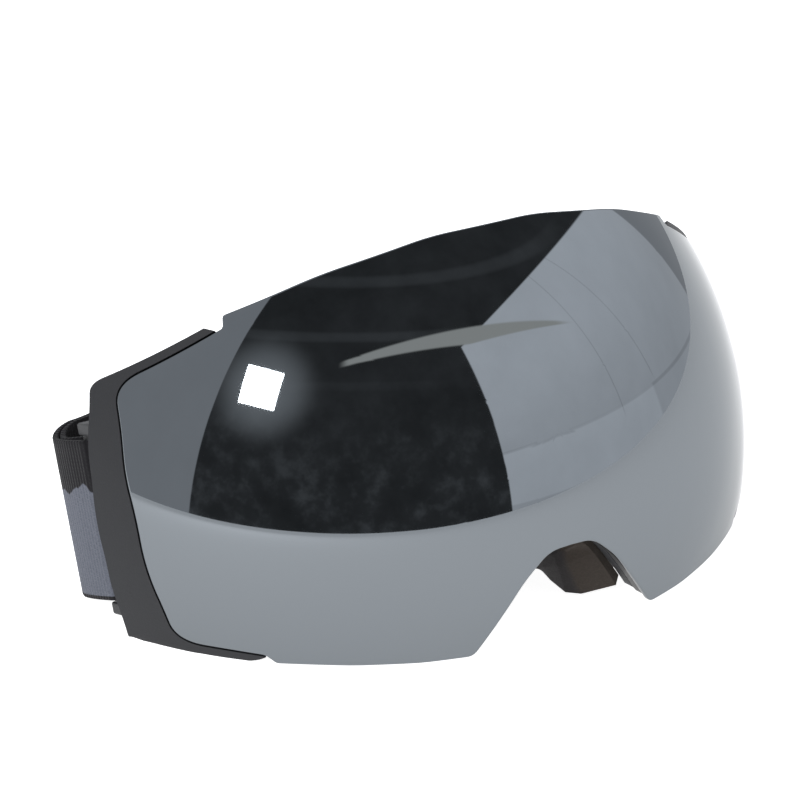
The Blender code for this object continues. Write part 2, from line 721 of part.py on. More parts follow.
def turn_rows(inset, steps=7):
    """Round the turn behind the cheek; inner layers turn on a smaller radius."""
    rows = []
    for k in range(steps + 1):
        turn = math.pi / 2 * k / steps
        x = TURN_X + (TURN_RADIUS - inset) * math.cos(turn)
        forward = TURN_FORWARD - (TURN_RADIUS - inset) * math.sin(turn)
        rows.append(row(x, forward, BAR_LOW + (TURN_LOW - BAR_LOW) * smooth(k / steps)))
    return rows


def rear_rows(inset, stops):
    """Along the back, rising to the height where the sliders carry the strap."""
    rows = []
    for x in stops:
        low = TURN_LOW + (REAR_LOW - TURN_LOW) * smooth((TURN_X - x) / (TURN_X - REAR_X))
        rows.append(row(x, REAR_FORWARD + inset, low))
    return rows


def strip(name, rows, material):
    """A band through rows of lower and upper edge points, thickened evenly on both sides."""
    bm = bmesh.new()
    pairs = [[bm.verts.new(p) for p in row] for row in rows]
    for a, b in zip(pairs, pairs[1:]):
        bm.faces.new((a[0], b[0], b[1], a[1]))
    made = add_mesh(name, bm, material)
    solid = made.modifiers.new("thickness", "SOLIDIFY")
    solid.thickness = STRAP_THICKNESS * MM
    solid.offset = 0
    solid.use_even_offset = True
    return made


def mirrored(rows):
    return [[point * (-1, 1, 1) for point in row] for row in rows]


WRAP_RADIUS = BAR_RADIUS + LAYER_GAP + STRAP_THICKNESS / 2


def band_side():
    """The outer layer of one side, from the bar to the stretch that the slider rides on."""
    outside = BAR_X + WRAP_RADIUS
    bow = [row(outside + 0.95, BAR_FORWARD - 5.0, BAR_LOW)]
    return wrap_rows(WRAP_RADIUS) + bow + turn_rows(0.0) + rear_rows(0.0, (74.8, 71.2, 67.6, REAR_X))


def return_rows():
    """The way back from the bar, inside the band, up to the end of the slider's travel."""
    inside = BAR_X - WRAP_RADIUS
    start = [row(inside, BAR_FORWARD - 0.6, BAR_LOW), row(inside, BAR_FORWARD - 2.4, BAR_LOW)]
    bow = [row(inside + 2.9, BAR_FORWARD - 6.0, BAR_LOW)]
    rear = rear_rows(LAYER_STEP, (74.8, 71.2, 67.6, REAR_X, RETURN_END_X))
    return start + bow + turn_rows(LAYER_STEP) + rear


def tail_rows():
    """The strap's end, folded round the slider's middle bar and lying inside the strap."""
    first = REAR_FORWARD + LAYER_STEP
    bend = LAYER_STEP
    fold_x = SLIDER_X - SLIDER_BAR / 2
    rows = [row(SLIDER_X + SLIDER_BAR / 2, first, REAR_LOW)]
    for k in range(9):
        turn = math.pi * k / 8
        forward = first + bend * (1 - math.cos(turn))
        rows.append(row(fold_x - bend * math.sin(turn), forward, REAR_LOW))
    return rows + [row(fold_x + TAIL_LENGTH, first + 2 * bend, REAR_LOW)]


def build_strap():
    side = band_side()
    strip("strap_band", side + mirrored(side)[::-1], STRAP_WEAVE)
    for name, rows in (("strap_return", return_rows()), ("strap_tail", tail_rows())):
        strip(f"{name}_left", rows, STRAP_WEAVE)
        strip(f"{name}_right", mirrored(rows), STRAP_WEAVE)


def slider_block(name, side, along, forward, height, material=None, collection=None):
    """A block from its spans along x (from the slider's middle), forward and in height."""
    spans = np.array([along, forward, height], float)
    middle, size = spans.mean(axis=1), spans[:, 1] - spans[:, 0]
    bm = bmesh.new()
    centre = (side * (SLIDER_X + middle[0]), -middle[1], middle[2])
    box_at(bm, centre, Matrix.Identity(3), size)
    return add_mesh(name, bm, material, True, collection)


def build_slider(label, side):
    """Two rails joined by end bars outside the strap and a middle bar between its layers."""
    bar_back = REAR_FORWARD + LAYER_STEP + STRAP_THICKNESS / 2 + LAYER_GAP
    bar_front = bar_back + STRAP_THICKNESS
    shell_front = REAR_FORWARD - STRAP_THICKNESS / 2 - LAYER_GAP - 0.1
    shell_back = shell_front - SHELL_THICKNESS
    low, high = REAR_LOW - SLIDER_GAP, REAR_LOW + STRAP_WIDTH + SLIDER_GAP
    half, end, bar = SLIDER_HALF, SLIDER_END, SLIDER_BAR / 2
    depth = (shell_back, bar_front)
    bars_height = (low - 1.0, high + 1.0)
    name = f"slider_{label}"
    slider = slider_block(name, side, (-half, half), depth, (low - SLIDER_RAIL, low), BLACK_PLASTIC)
    blocks = (
        ("rail", (-half, half), depth, (high, high + SLIDER_RAIL)),
        ("end_a", (-half + 0.05, -half + end), (shell_back + 0.05, shell_front), bars_height),
        ("end_b", (half - end, half - 0.05), (shell_back + 0.05, shell_front), bars_height),
        ("middle", (-bar, bar), (bar_back, bar_front - 0.05), bars_height),
    )
    for part, *spans in blocks:
        combine(slider, slider_block(f"{name}_{part}", side, *spans, collection=CUTTERS), "UNION")


# ---------------------------------------------------------------- the whole object


def main():
    table = table_cutter("table_level", 0.0)
    clear_of_table = table_cutter("lens_level", LENS_CLEARANCE)
    build_lens(clear_of_table)
    build_front_frame(table)
    build_flange(table)
    build_nose_pad(clear_of_table)
    build_vent_foams()
    build_foam()
    build_strap()
    build_slider("left", 1)
    build_slider("right", -1)


main()
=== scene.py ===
# %% [markdown]
# Ski goggles, dressed over a finished frame. The goggles stand on a table on their lower edge, so
# their lens leans back, and the strap is folded in behind them. This file is read from top to
# bottom: it loads the frame, sets the camera and the studio, makes helpers for shapes and finishes,
# and then makes one piece after another, each with its own finish.

import json
import math

import bmesh
import bpy
import numpy as np
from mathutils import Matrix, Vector

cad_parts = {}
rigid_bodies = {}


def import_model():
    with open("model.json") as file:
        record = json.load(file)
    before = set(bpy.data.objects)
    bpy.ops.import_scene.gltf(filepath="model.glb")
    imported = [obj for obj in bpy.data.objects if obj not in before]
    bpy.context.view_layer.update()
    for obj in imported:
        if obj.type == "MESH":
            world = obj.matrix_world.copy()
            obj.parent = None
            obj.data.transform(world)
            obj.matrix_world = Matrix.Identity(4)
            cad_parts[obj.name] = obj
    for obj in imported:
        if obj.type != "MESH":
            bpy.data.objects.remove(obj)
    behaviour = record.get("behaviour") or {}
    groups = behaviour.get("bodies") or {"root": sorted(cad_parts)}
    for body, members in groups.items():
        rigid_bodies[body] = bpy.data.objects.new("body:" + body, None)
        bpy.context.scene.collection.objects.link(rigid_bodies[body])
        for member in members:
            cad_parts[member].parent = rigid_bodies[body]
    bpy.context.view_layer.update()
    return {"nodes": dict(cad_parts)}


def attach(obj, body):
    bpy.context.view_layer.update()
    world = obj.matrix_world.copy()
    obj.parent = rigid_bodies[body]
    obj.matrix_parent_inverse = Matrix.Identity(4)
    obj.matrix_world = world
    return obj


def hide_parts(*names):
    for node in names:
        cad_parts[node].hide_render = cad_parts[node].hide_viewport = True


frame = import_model()
print("frame nodes:", len(frame["nodes"]))

# %% [markdown]
# The goggles have a frame of their own: x to the wearer's left, y to the back, z up, and the centre
# of the lens's sphere at zero. On the table that frame leans back and is lifted. Everything that
# belongs to the lens and the face is drawn in the goggles' own frame in millimetres, and one
# function carries a whole array of points to its place on the table.

# %% The goggles' own frame
MM = 0.001
LEAN = math.radians(19.4)
CENTRE_HEIGHT = 8.9
CENTRE_Y = 49.954
LENS_RADIUS = 100.0


def on_table(points):
    """Own-frame millimetres to table metres: turn about x by the lean, then lift."""
    x, y, z = np.moveaxis(np.asarray(points, float), -1, 0)
    back = y * math.cos(LEAN) + z * math.sin(LEAN) + CENTRE_Y
    up = z * math.cos(LEAN) - y * math.sin(LEAN) + CENTRE_HEIGHT
    return np.stack([x, back, up], axis=-1) * MM


def over_table(points, clear):
    """Points lifted along the goggles' own height until they clear the table by some millimetres."""
    lifted = np.array(points, float)
    height = on_table(lifted)[..., 2] / MM
    lifted[..., 2] += np.maximum(clear - height, 0) / math.cos(LEAN)
    return lifted


LENS_CENTRE = Vector(on_table([0, 0, 0]))
print("lens centre", tuple(round(v, 4) for v in LENS_CENTRE))

# %% [markdown]
# The camera looks from the wearer's right, a little above. A long lens keeps the sphere round. It is
# aimed a little beside the lens's centre, which leaves the strap in view.

# %% Camera
VIEW_AZIMUTH, VIEW_HEIGHT = math.radians(-30.21), math.radians(25.65)
VIEW_DISTANCE = 0.714
FRAME_WIDTH = 0.2051
SENSOR = 36.0


def towards(azimuth, height):
    """The unit vector towards a compass angle, counted from -Y to +X, and a height angle."""
    flat = math.cos(height)
    return Vector((math.sin(azimuth) * flat, -math.cos(azimuth) * flat, math.sin(height)))


view_back = towards(VIEW_AZIMUTH, VIEW_HEIGHT)
view_right = Vector((math.cos(VIEW_AZIMUTH), math.sin(VIEW_AZIMUTH), 0))
view_up = view_back.cross(view_right)
aim = LENS_CENTRE + view_right * 0.0125 + view_up * 0.0101
lens_data = bpy.data.cameras.new("camera")
lens_data.sensor_width = SENSOR
lens_data.lens = SENSOR * VIEW_DISTANCE / FRAME_WIDTH
lens_data.clip_start, lens_data.clip_end = 0.01, 50
camera = bpy.data.objects.new("camera", lens_data)
bpy.context.scene.collection.objects.link(camera)
camera.location = LENS_CENTRE + view_back * VIEW_DISTANCE
camera.rotation_euler = (camera.location - aim).to_track_quat("Z", "Y").to_euler()
bpy.context.scene.camera = camera
bpy.context.scene.view_settings.view_transform = "Standard"
print("camera", tuple(round(v, 3) for v in camera.location), "lens", round(lens_data.lens, 1))

# %% [markdown]
# Shader sums are easier to read as sums. A Wire holds one output socket, and adding or multiplying
# wires adds the Math nodes that do it. A Finish is one material: its add method places any node, with
# its settings first and then the values or wires of its sockets.


# %% Shader helpers
class Wire:
    """One output socket whose arithmetic becomes Math nodes."""

    def __init__(self, owner, socket):
        self.owner, self.socket = owner, socket

    def math(self, operation, *values):
        return self.owner.add("ShaderNodeMath", {"operation": operation}, dict(enumerate(values)))[0]

    def __add__(self, other):
        return self.math("ADD", self, other)

    def __sub__(self, other):
        return self.math("SUBTRACT", self, other)

    def __rsub__(self, other):
        return self.math("SUBTRACT", other, self)

    def __mul__(self, other):
        return self.math("MULTIPLY", self, other)

    def __truediv__(self, other):
        return self.math("DIVIDE", self, other)

    __radd__, __rmul__ = __add__, __mul__

    def sine(self):
        return self.math("SINE", self)

    def size(self):
        return self.math("ABSOLUTE", self)

    def fraction(self):
        return self.math("FRACT", self)

    def most(self, other):
        return self.math("MAXIMUM", self, other)

    def step(self, low, high):
        """0 below low and 1 above high, with a soft rise between them."""
        settings = {"interpolation_type": "SMOOTHSTEP"}
        return self.owner.add("ShaderNodeMapRange", settings, {0: self, 1: low, 2: high})[0]


class Finish:
    """A node tree with one method that adds nodes."""

    def __init__(self, name, world=False):
        if world:
            self.data = bpy.data.worlds.new(name)
        else:
            self.data = bpy.data.materials.new(name)
        self.data.use_nodes = True
        self.tree = self.data.node_tree
        kind = "ShaderNodeBackground" if world else "ShaderNodeBsdfPrincipled"
        self.shader = next(n for n in self.tree.nodes if n.bl_idname == kind)

    def feed(self, node, values):
        for key, value in values.items():
            target = node.inputs[key]
            if isinstance(value, Wire):
                self.tree.links.new(value.socket, target)
            else:
                target.default_value = value

    def add(self, kind, settings=None, values=None):
        """Adds a node and returns its enabled outputs as wires."""
        node = self.tree.nodes.new(kind)
        for key, value in (settings or {}).items():
            if key == "stops":
                ramp = node.color_ramp
                while len(ramp.elements) < len(value):
                    ramp.elements.new(0.5)
                for element, (place, colour) in zip(ramp.elements, value):
                    element.position, element.color = place, colour
            else:
                setattr(node, key, value)
        self.feed(node, values or {})
        return [Wire(self, s) for s in node.outputs if s.enabled]

    def set(self, **values):
        """Sets the shader's sockets by name, with underscores for spaces."""
        self.feed(self.shader, {key.replace("_", " "): value for key, value in values.items()})
        return self

    def place(self):
        """Object coordinates."""
        return self.add("ShaderNodeTexCoord")[3]

    def noise(self, vector, scale, detail=3.0, roughness=0.5):
        values = {"Vector": vector, "Scale": scale, "Detail": detail, "Roughness": roughness}
        return self.add("ShaderNodeTexNoise", {}, values)[0]

    def blend(self, factor, first, second):
        """A colour between two colours."""
        settings = {"data_type": "RGBA"}
        return self.add("ShaderNodeMix", settings, {0: factor, 6: first, 7: second})[0]

    def bump(self, height, distance, strength=1.0):
        values = {"Height": height, "Distance": distance, "Strength": strength}
        return self.add("ShaderNodeBump", {}, values)[0]


def grey(value, alpha=1.0):
    return (value, value, value, alpha)


def tint(red, green, blue):
    return (red, green, blue, 1.0)


print("shader helpers ready")

# %% [markdown]
# A mirror shows the room. Ski goggles are usually shot inside a tent of white cloth that is open
# towards the camera, so a dark room stands in the middle of the lens, with the tent's walls to both
# sides and the white table below. The sky of this scene is that tent, worked out from the direction
# alone: the opening is bounded by the tent's two front edges, the right wall's top edge and the
# table's horizon. Nothing of it is painted on the lens, so it moves as the goggles or the eye move.

# %% Studio
def edge_plane(first, second):
    """Unit normal of the plane through the eye and two directions, given in degrees."""
    a, b = (towards(*map(math.radians, pair)) for pair in (first, second))
    return a.cross(b).normalized()


sky = Finish("studio_tent", world=True)
bpy.context.scene.world = sky.data
direction = sky.add("ShaderNodeTexCoord")[0]


def side_of(normal):
    """How far a direction lies on the positive side of a plane."""
    values = {0: direction, 1: tuple(normal)}
    return sky.add("ShaderNodeVectorMath", {"operation": "DOT_PRODUCT"}, values)[0]


def past(azimuth, soft=0.004):
    """1 on the far side of an azimuth given in degrees, in a fan of half a turn."""
    turn = math.radians(azimuth)
    return side_of((math.cos(turn), math.sin(turn), 0)).step(-soft, soft)


def over(first, second, soft=0.004):
    """1 above the great circle through two directions."""
    return side_of(edge_plane(first, second)).step(-soft, soft)


def seam(first, second, width=0.004):
    """1 on a thin great circle through two directions."""
    return 1.0 - side_of(edge_plane(first, second)).size().step(width * 0.4, width)


# The opening between the tent's walls, where the dark room shows.
TENT_LEFT, TENT_RIGHT = -75.2, 14.0
PANEL = (-60.5, 36.6)
upward = sky.add("ShaderNodeSeparateXYZ", {}, {0: direction})[2]
left_edge, right_edge = past(TENT_LEFT), 1.0 - past(TENT_RIGHT)
over_wall = over((13.6, 44.5), (90.3, 33.9))
front_half = side_of((0, -1, 0.30)).step(-0.10, -0.09)
room = left_edge * right_edge.most(over_wall) * front_half

# The dark room: roof beams, a little light near the floor and a glow round the panel lamp.
texture = sky.noise(direction, 5.0, 4.0, 0.6)
fine_texture = sky.noise(direction, 16.0, 3.0, 0.6)
beams = (side_of((6.0, 10.0, 26.0)).sine() * 0.5 + 0.5).step(0.86, 1.0) * upward.step(0.55, 0.8)
lit_low = (texture * fine_texture).step(0.2, 0.45) * (1.0 - upward.step(0.1, 0.7))
halo = side_of(towards(*map(math.radians, PANEL))).step(0.94, 1.0)
dark_level = texture * 0.10 + beams * 0.06 + lit_low * 0.09 + halo * halo * halo * 0.5 + 0.04

# A strip of pale cloth across the opening: under one great circle and over two others.
flap = over((-34.0, 45.5), (17.5, 44.3), 0.006) * (1.0 - over((-34.0, 46.9), (33.1, 44.6), 0.006))
flap = flap * over((17.5, 44.3), (53.0, 33.0)) * past(-33.0, 0.03) * (1.0 - past(54.0, 0.05))

# The right wall, with a paler band low down, two folds and a seam.
shelf = over((0.0, 2.0), (70.0, -2.5)) * (1.0 - over((-4.0, 14.9), (71.0, 6.2))) * past(6.0, 0.06)
shelf = shelf * (1.0 - past(70.0, 0.01))
folds = seam((58.1, 41.0), (56.3, 10.9)).most(seam((70.9, 27.3), (71.6, 6.5))) * upward.step(0.1, 0.16)
wall_level = texture * 0.28 + upward.step(0.0, 0.6) * 0.38 + 1.12 + shelf * 0.25 - folds * 0.3
wall_level = wall_level - seam((-3.5, 14.9), (70.9, 5.9), 0.008) * past(8.0) * 0.25
dark = sky.blend(dark_level, tint(0.0, 0.0, 0.0), tint(0.96, 1.0, 1.04))
side_level = left_edge * wall_level + (1.0 - left_edge) * (0.72 + texture * 0.1)
white = sky.blend(side_level * 0.5, tint(0.0, 0.0, 0.0), tint(1.94, 2.0, 2.10))
colour = sky.blend(flap, sky.blend(room, white, dark), tint(1.12, 1.12, 1.06))
sky.set(Color=colour, Strength=1.0)
print("sky nodes:", len(sky.tree.nodes))


def lamp(name, azimuth, height, distance, size, power):
    """A square soft lamp that faces the goggles."""
    data = bpy.data.lights.new(name, "AREA")
    data.size = size
    data.energy = power
    made = bpy.data.objects.new(name, data)
    bpy.context.scene.collection.objects.link(made)
    made.location = LENS_CENTRE + towards(math.radians(azimuth), math.radians(height)) * distance
    made.rotation_euler = (made.location - LENS_CENTRE).to_track_quat("Z", "Y").to_euler()
    return made


lamp("key_panel", *PANEL, 1.6, 0.28, 11.0)

floor_mesh = bpy.data.meshes.new("floor")
FLOOR = 6.0
corners = [(-FLOOR, -FLOOR, 0), (FLOOR, -FLOOR, 0), (FLOOR, FLOOR, 0), (-FLOOR, FLOOR, 0)]
floor_mesh.from_pydata(corners, [], [(0, 1, 2, 3)])
floor = bpy.data.objects.new("floor", floor_mesh)
bpy.context.scene.collection.objects.link(floor)
paper = Finish("white_paper").set(
    Base_Color=grey(0.85), Roughness=0.9, Emission_Color=grey(1.0), Emission_Strength=0.95
)
floor_mesh.materials.append(paper.data)
print("studio ready")

# %% [markdown]
# The goggles are drawn as outlines on spheres. A half outline is a short list of corners, each with
# a radius, seen straight from the front: x and height. Whole outlines are then read along rays from
# one centre point, so every ring has its points at the same angles and rings join without a twist.

# %% Outlines
CENTRE_U = 8.0
NOSE = ((12.5, -25.2, 30), (6.0, -19.7, 10), (0.0, -19.5, 0))
LENS_OUTLINE = (
    (0.0, 54.8, 0),
    (14.0, 54.8, 80),
    (40.0, 51.2, 100),
    (60.3, 45.9, 1.0),
    (61.2, 43.2, 1.0),
    (81.5, 34.0, 9),
    (84.8, 14.0, 60),
    (84.8, -8.0, 60),
    (80.8, -25.6, 9),
    (66.3, -31.3, 2),
    (64.4, -33.6, 1.2),
    (50.0, -36.9, 100),
    (36.0, -39.3, 60),
    (24.6, -40.4, 2.5),
    *NOSE,
)
SEAT_OUTLINE = (
    (0.0, 54.4, 0),
    (14.0, 54.4, 80),
    (40.0, 50.8, 100),
    (60.4, 45.1, 3),
    (83.5, 34.2, 5),
    (87.6, 21.0, 60),
    (89.6, 4.0, 80),
    (88.9, -12.0, 60),
    (86.3, -24.6, 5),
    (65.4, -32.4, 2),
    (50.0, -36.5, 100),
    (36.0, -38.9, 60),
    (25.2, -39.7, 2.5),
    (12.9, -24.6, 30),
    (6.0, -19.1, 10),
    (0.0, -18.9, 0),
)
CHEEK_OUTLINE = (
    (0.0, 48.0, 0),
    (61.0, 45.2, 20),
    (84.6, 34.9, 5),
    (88.6, 21.0, 60),
    (90.5, 4.0, 80),
    (89.7, -12.0, 60),
    (87.2, -26.3, 5),
    (64.6, -34.0, 20),
    (0.0, -46.0, 0),
)
FLANGE_FRONT_OUTLINE = (
    (0.0, 52.7, 0),
    (14.0, 52.7, 80),
    (38.0, 49.3, 100),
    (61.0, 42.6, 20),
    (80.3, 32.6, 10),
    (84.0, 12.0, 60),
    (84.0, -8.0, 60),
    (79.3, -24.2, 9),
    (64.5, -31.0, 6),
    (50.0, -34.9, 100),
    (36.0, -37.2, 60),
    (26.6, -37.8, 3),
    (14.0, -23.2, 28),
    (6.6, -17.7, 10),
    (0.0, -17.4, 0),
)
FLANGE_BACK_OUTLINE = (
    (0.0, 43.0, 0),
    (34.0, 43.0, 120),
    (62.0, 33.0, 22),
    (75.0, 12.0, 30),
    (75.0, -6.0, 16),
    (62.0, -19.5, 18),
    (40.0, -24.5, 60),
    (13.5, -29.0, 3.5),
    (9.5, -12.0, 7),
    (0.0, -8.0, 0),
)
FOAM_OUTLINE = (
    (0.0, 42.6, 0),
    (34.0, 42.6, 120),
    (61.5, 32.6, 22),
    (74.5, 12.0, 30),
    (74.5, -5.0, 16),
    (61.0, -17.0, 18),
    (40.0, -21.8, 60),
    (17.0, -24.0, 5),
    (9.8, -11.5, 7),
    (0.0, -7.6, 0),
)


def spread(points, step):
    """A line's points again, at even steps of its length."""
    length = np.concatenate([[0], np.cumsum(np.linalg.norm(np.diff(points, axis=0), axis=1))])
    wanted = np.linspace(0, length[-1], max(2, int(round(length[-1] / step)) + 1))
    return np.stack([np.interp(wanted, length, axis) for axis in points.T], axis=1)


def whole(half, step=0.4):
    """A closed outline from half of it. Each corner becomes a quadratic curve that starts and ends
    radius times the tangent of half the turn away from the corner, or at most half-way to the next.
    """
    corners = np.array(half, float)
    here, radius = corners[1:-1, :2], corners[1:-1, 2]
    before, after = corners[:-2, :2] - here, corners[2:, :2] - here
    long_b, long_a = np.linalg.norm(before, axis=1), np.linalg.norm(after, axis=1)
    facing = (before * after).sum(1) / (long_b * long_a)
    turn = math.pi - np.arccos(np.clip(facing, -1, 1))
    reach = np.minimum(radius * np.tan(turn / 2), 0.48 * np.minimum(long_b, long_a))[:, None]
    start = here + before / long_b[:, None] * reach
    end = here + after / long_a[:, None] * reach
    t = np.linspace(0, 1, 13)[None, :, None]
    arcs = start[:, None] * (1 - t) ** 2 + here[:, None] * 2 * t * (1 - t) + end[:, None] * t**2
    line = np.vstack([corners[:1, :2], arcs.reshape(-1, 2), corners[-1:, :2]])
    right = spread(line, step)
    return np.vstack([right, right[-2:0:-1] * (-1, 1)])


def bearings(points):
    """The angle of each point about the centre, growing from 0 at the brow to a full turn."""
    angle = np.arctan2(points[:, 0], points[:, 1] - CENTRE_U)
    return np.where(angle < -1e-9, angle + 2 * math.pi, angle)


def read_at(outline, angles):
    """Where rays at these angles cross a closed outline: the ray meets each straight stretch where
    the stretch's two cross products balance."""
    centre = np.array([0.0, CENTRE_U])
    ring = outline[np.argsort(bearings(outline))]
    ring = np.vstack([ring[-1], ring, ring[0]])
    known = bearings(ring)
    known[0] -= 2 * math.pi
    known[-1] += 2 * math.pi
    place = np.clip(np.searchsorted(known, angles, side="right"), 1, len(ring) - 1)
    a, b = ring[place - 1] - centre, ring[place] - centre
    ray = np.column_stack([np.sin(angles), np.cos(angles)])
    side = b - a
    top = a[:, 0] * side[:, 1] - a[:, 1] * side[:, 0]
    low = ray[:, 0] * side[:, 1] - ray[:, 1] * side[:, 0]
    return centre + ray * (top / low)[:, None]


def on_sphere(points, radius):
    """Front-view points carried to a sphere of some radius along the lens's radii."""
    forward = np.sqrt(LENS_RADIUS**2 - (points**2).sum(axis=-1))
    full = np.stack([points[..., 0], -forward, points[..., 1]], axis=-1)
    return full * (np.asarray(radius)[..., None] / LENS_RADIUS)


def moved_in(points, inward, distance):
    """Points moved along inward directions, without those that come too near the old line."""
    moved = points + inward * distance
    gaps = np.linalg.norm(moved[:, None, :] - points[None, ::2, :], axis=2).min(axis=1)
    return moved[gaps > 0.985 * distance - 0.02] if distance > 0 else moved


def inset_on_sphere(outline, distance):
    """An outline moved inwards over the sphere: inward is the cross product of the line's own
    direction with the sphere's radius."""
    points = on_sphere(outline, LENS_RADIUS)
    direction_along = np.roll(points, -1, axis=0) - np.roll(points, 1, axis=0)
    inward = np.cross(direction_along, points)
    inward /= np.linalg.norm(inward, axis=1)[:, None]
    moved = moved_in(points, inward, distance)
    moved *= LENS_RADIUS / np.linalg.norm(moved, axis=1)[:, None]
    return moved[:, [0, 2]]


FACE_AXIS_Y, FLANGE_RADIUS = 48.0, 111.0


def inset_on_face(outline, distance):
    """An outline moved inwards over the face's cylinder, which is unrolled for it."""
    flat = outline.copy()
    flat[:, 0] = FLANGE_RADIUS * np.arcsin(outline[:, 0] / FLANGE_RADIUS)
    run = np.roll(flat, -1, axis=0) - np.roll(flat, 1, axis=0)
    inward = np.column_stack([run[:, 1], -run[:, 0]])
    inward /= np.linalg.norm(inward, axis=1)[:, None]
    moved = moved_in(flat, inward, distance)
    moved[:, 0] = FLANGE_RADIUS * np.sin(moved[:, 0] / FLANGE_RADIUS)
    return moved


def on_face(points, radius):
    """Points of the flange's outline at some radius about the face cylinder's upright axis."""
    turn = np.arcsin(points[..., 0] / FLANGE_RADIUS)
    y = FACE_AXIS_Y - radius * np.cos(turn)
    return np.stack([radius * np.sin(turn), y, points[..., 1]], axis=-1)


LENS_LINE = whole(LENS_OUTLINE)
STATIONS = bearings(whole(LENS_OUTLINE, 0.6))
print("lens outline points", len(LENS_LINE), "stations", len(STATIONS))

# %% [markdown]
# A surface is an array of points with rows and columns. Neighbouring points become four-sided faces,
# with the row or the column closed round where the shape is a ring or a tube. The whole array goes
# into the mesh at once.


# %% Surfaces
def quads(rows, columns, ring_rows, ring_columns, keep=None):
    """The faces of a grid as an array of four point numbers each."""
    r = np.arange(rows if ring_rows else rows - 1)[:, None]
    c = np.arange(columns if ring_columns else columns - 1)[None, :]
    r1, c1 = (r + 1) % rows, (c + 1) % columns
    faces = np.stack([r * columns + c, r * columns + c1, r1 * columns + c1, r1 * columns + c], axis=-1)
    return faces[keep] if keep is not None else faces.reshape(-1, 4)


def surface(name, points, ring_rows=False, ring_columns=False, keep=None, ends="", table=True, uv=None):
    """Makes a mesh object of a grid of points. ends closes the first and last row or column."""
    points = np.asarray(points, float)
    rows, columns = points.shape[:2]
    faces = quads(rows, columns, ring_rows, ring_columns, keep).tolist()
    number = np.arange(rows * columns).reshape(rows, columns)
    if "rows" in ends:
        faces += [number[0].tolist(), number[-1].tolist()]
    if "columns" in ends:
        faces += [number[:, 0].tolist(), number[:, -1].tolist()]
    placed = (points if table else on_table(points)).reshape(-1, 3)
    mesh = bpy.data.meshes.new(name)
    mesh.from_pydata(placed, [], faces)
    if uv is not None:
        layer = mesh.uv_layers.new(name="along")
        loops = np.empty(len(mesh.loops), dtype=np.int64)
        mesh.loops.foreach_get("vertex_index", loops)
        layer.data.foreach_set("uv", np.asarray(uv, float).reshape(-1, 2)[loops].ravel())
    return mend(name, mesh)


def mend(name, mesh):
    """Drops unused points, turns the faces outwards and makes the object."""
    bm = bmesh.new()
    bm.from_mesh(mesh)
    bmesh.ops.delete(bm, geom=[v for v in bm.verts if not v.link_faces], context="VERTS")
    bmesh.ops.recalc_face_normals(bm, faces=bm.faces)
    if bm.calc_volume(signed=True) < 0:
        bmesh.ops.reverse_faces(bm, faces=bm.faces)
    bm.to_mesh(mesh)
    bm.free()
    mesh.shade_smooth()
    mesh.set_sharp_from_angle(angle=math.radians(40))
    made = bpy.data.objects.new(name, mesh)
    bpy.context.scene.collection.objects.link(made)
    return made


def round_edges(piece, width, segments=3, angle=35.0):
    """A live bevel on the sharp edges, in millimetres."""
    bevel = piece.modifiers.new("edges", "BEVEL")
    bevel.width = width * MM
    bevel.segments = segments
    bevel.limit_method = "ANGLE"
    bevel.angle_limit = math.radians(angle)
    bevel.harden_normals = False
    return piece


def thicken(piece, thickness, offset=-1.0, even=True):
    """A live wall thickness in millimetres: offset -1 grows inwards, 0 both ways. Even thickness
    stretches the corners, which suits flat strips but not a wall with a sharp lip."""
    wall = piece.modifiers.new("wall", "SOLIDIFY")
    wall.thickness = thickness * MM
    wall.offset = offset
    wall.use_even_offset = even
    return piece


def finish_piece(piece, finish, body, slot, *nodes):
    """Gives a piece its finish and body, and the nodes it stands for. Its slot is not used."""
    if finish is not None:
        piece.data.materials.clear()
        piece.data.materials.append(finish.data)
    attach(piece, body)
    if nodes:
        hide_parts(*nodes)
    print(piece.name, len(piece.data.vertices), "points, for", ", ".join(nodes) or "detail")
    return piece


def section_rows(corners, steps):
    """Grid rows along a closed section, given as (line, radius) corners on spheres: between two
    corners the front-view point and the radius both change evenly."""
    rows = []
    for (line_a, radius_a), (line_b, radius_b) in zip(corners, corners[1:] + corners[:1]):
        for share in np.arange(steps) / steps:
            line = line_a * (1 - share) + line_b * share
            rows.append(on_sphere(line, np.full(len(line), radius_a * (1 - share) + radius_b * share)))
    return np.array(rows)


def ring_grid(outer, inner, front, back, steps):
    """A ring with a four-cornered section: two lines, each at a front and a back radius."""
    return section_rows([(outer, front), (inner, front), (inner, back), (outer, back)], steps)


def rim_line(inset, angles=STATIONS):
    """The lens's edge moved in, read at the stations."""
    return read_at(inset_on_sphere(LENS_LINE, inset) if inset else LENS_LINE, angles)


def rim_places(places):
    """Points on the middle of the lens's rim with the directions along it and across it. A place is
    x and a side: 1 above the eyes, -1 below."""
    line = rim_line(3.1)
    found = []
    for x, level in places:
        for side in (1, -1):
            fits = (np.sign(line[:, 1] - CENTRE_U) == level) & (np.sign(line[:, 0]) == side)
            near = np.where(fits, np.abs(line[:, 0] - side * x), 1e9).argmin()
            trio = on_sphere(line[[near - 1, near, near + 1]], np.full(3, LENS_RADIUS))
            run = (trio[2] - trio[0]) / np.linalg.norm(trio[2] - trio[0])
            cross = np.cross(trio[1], run)
            found.append((trio[1], run, cross / np.linalg.norm(cross)))
    return found


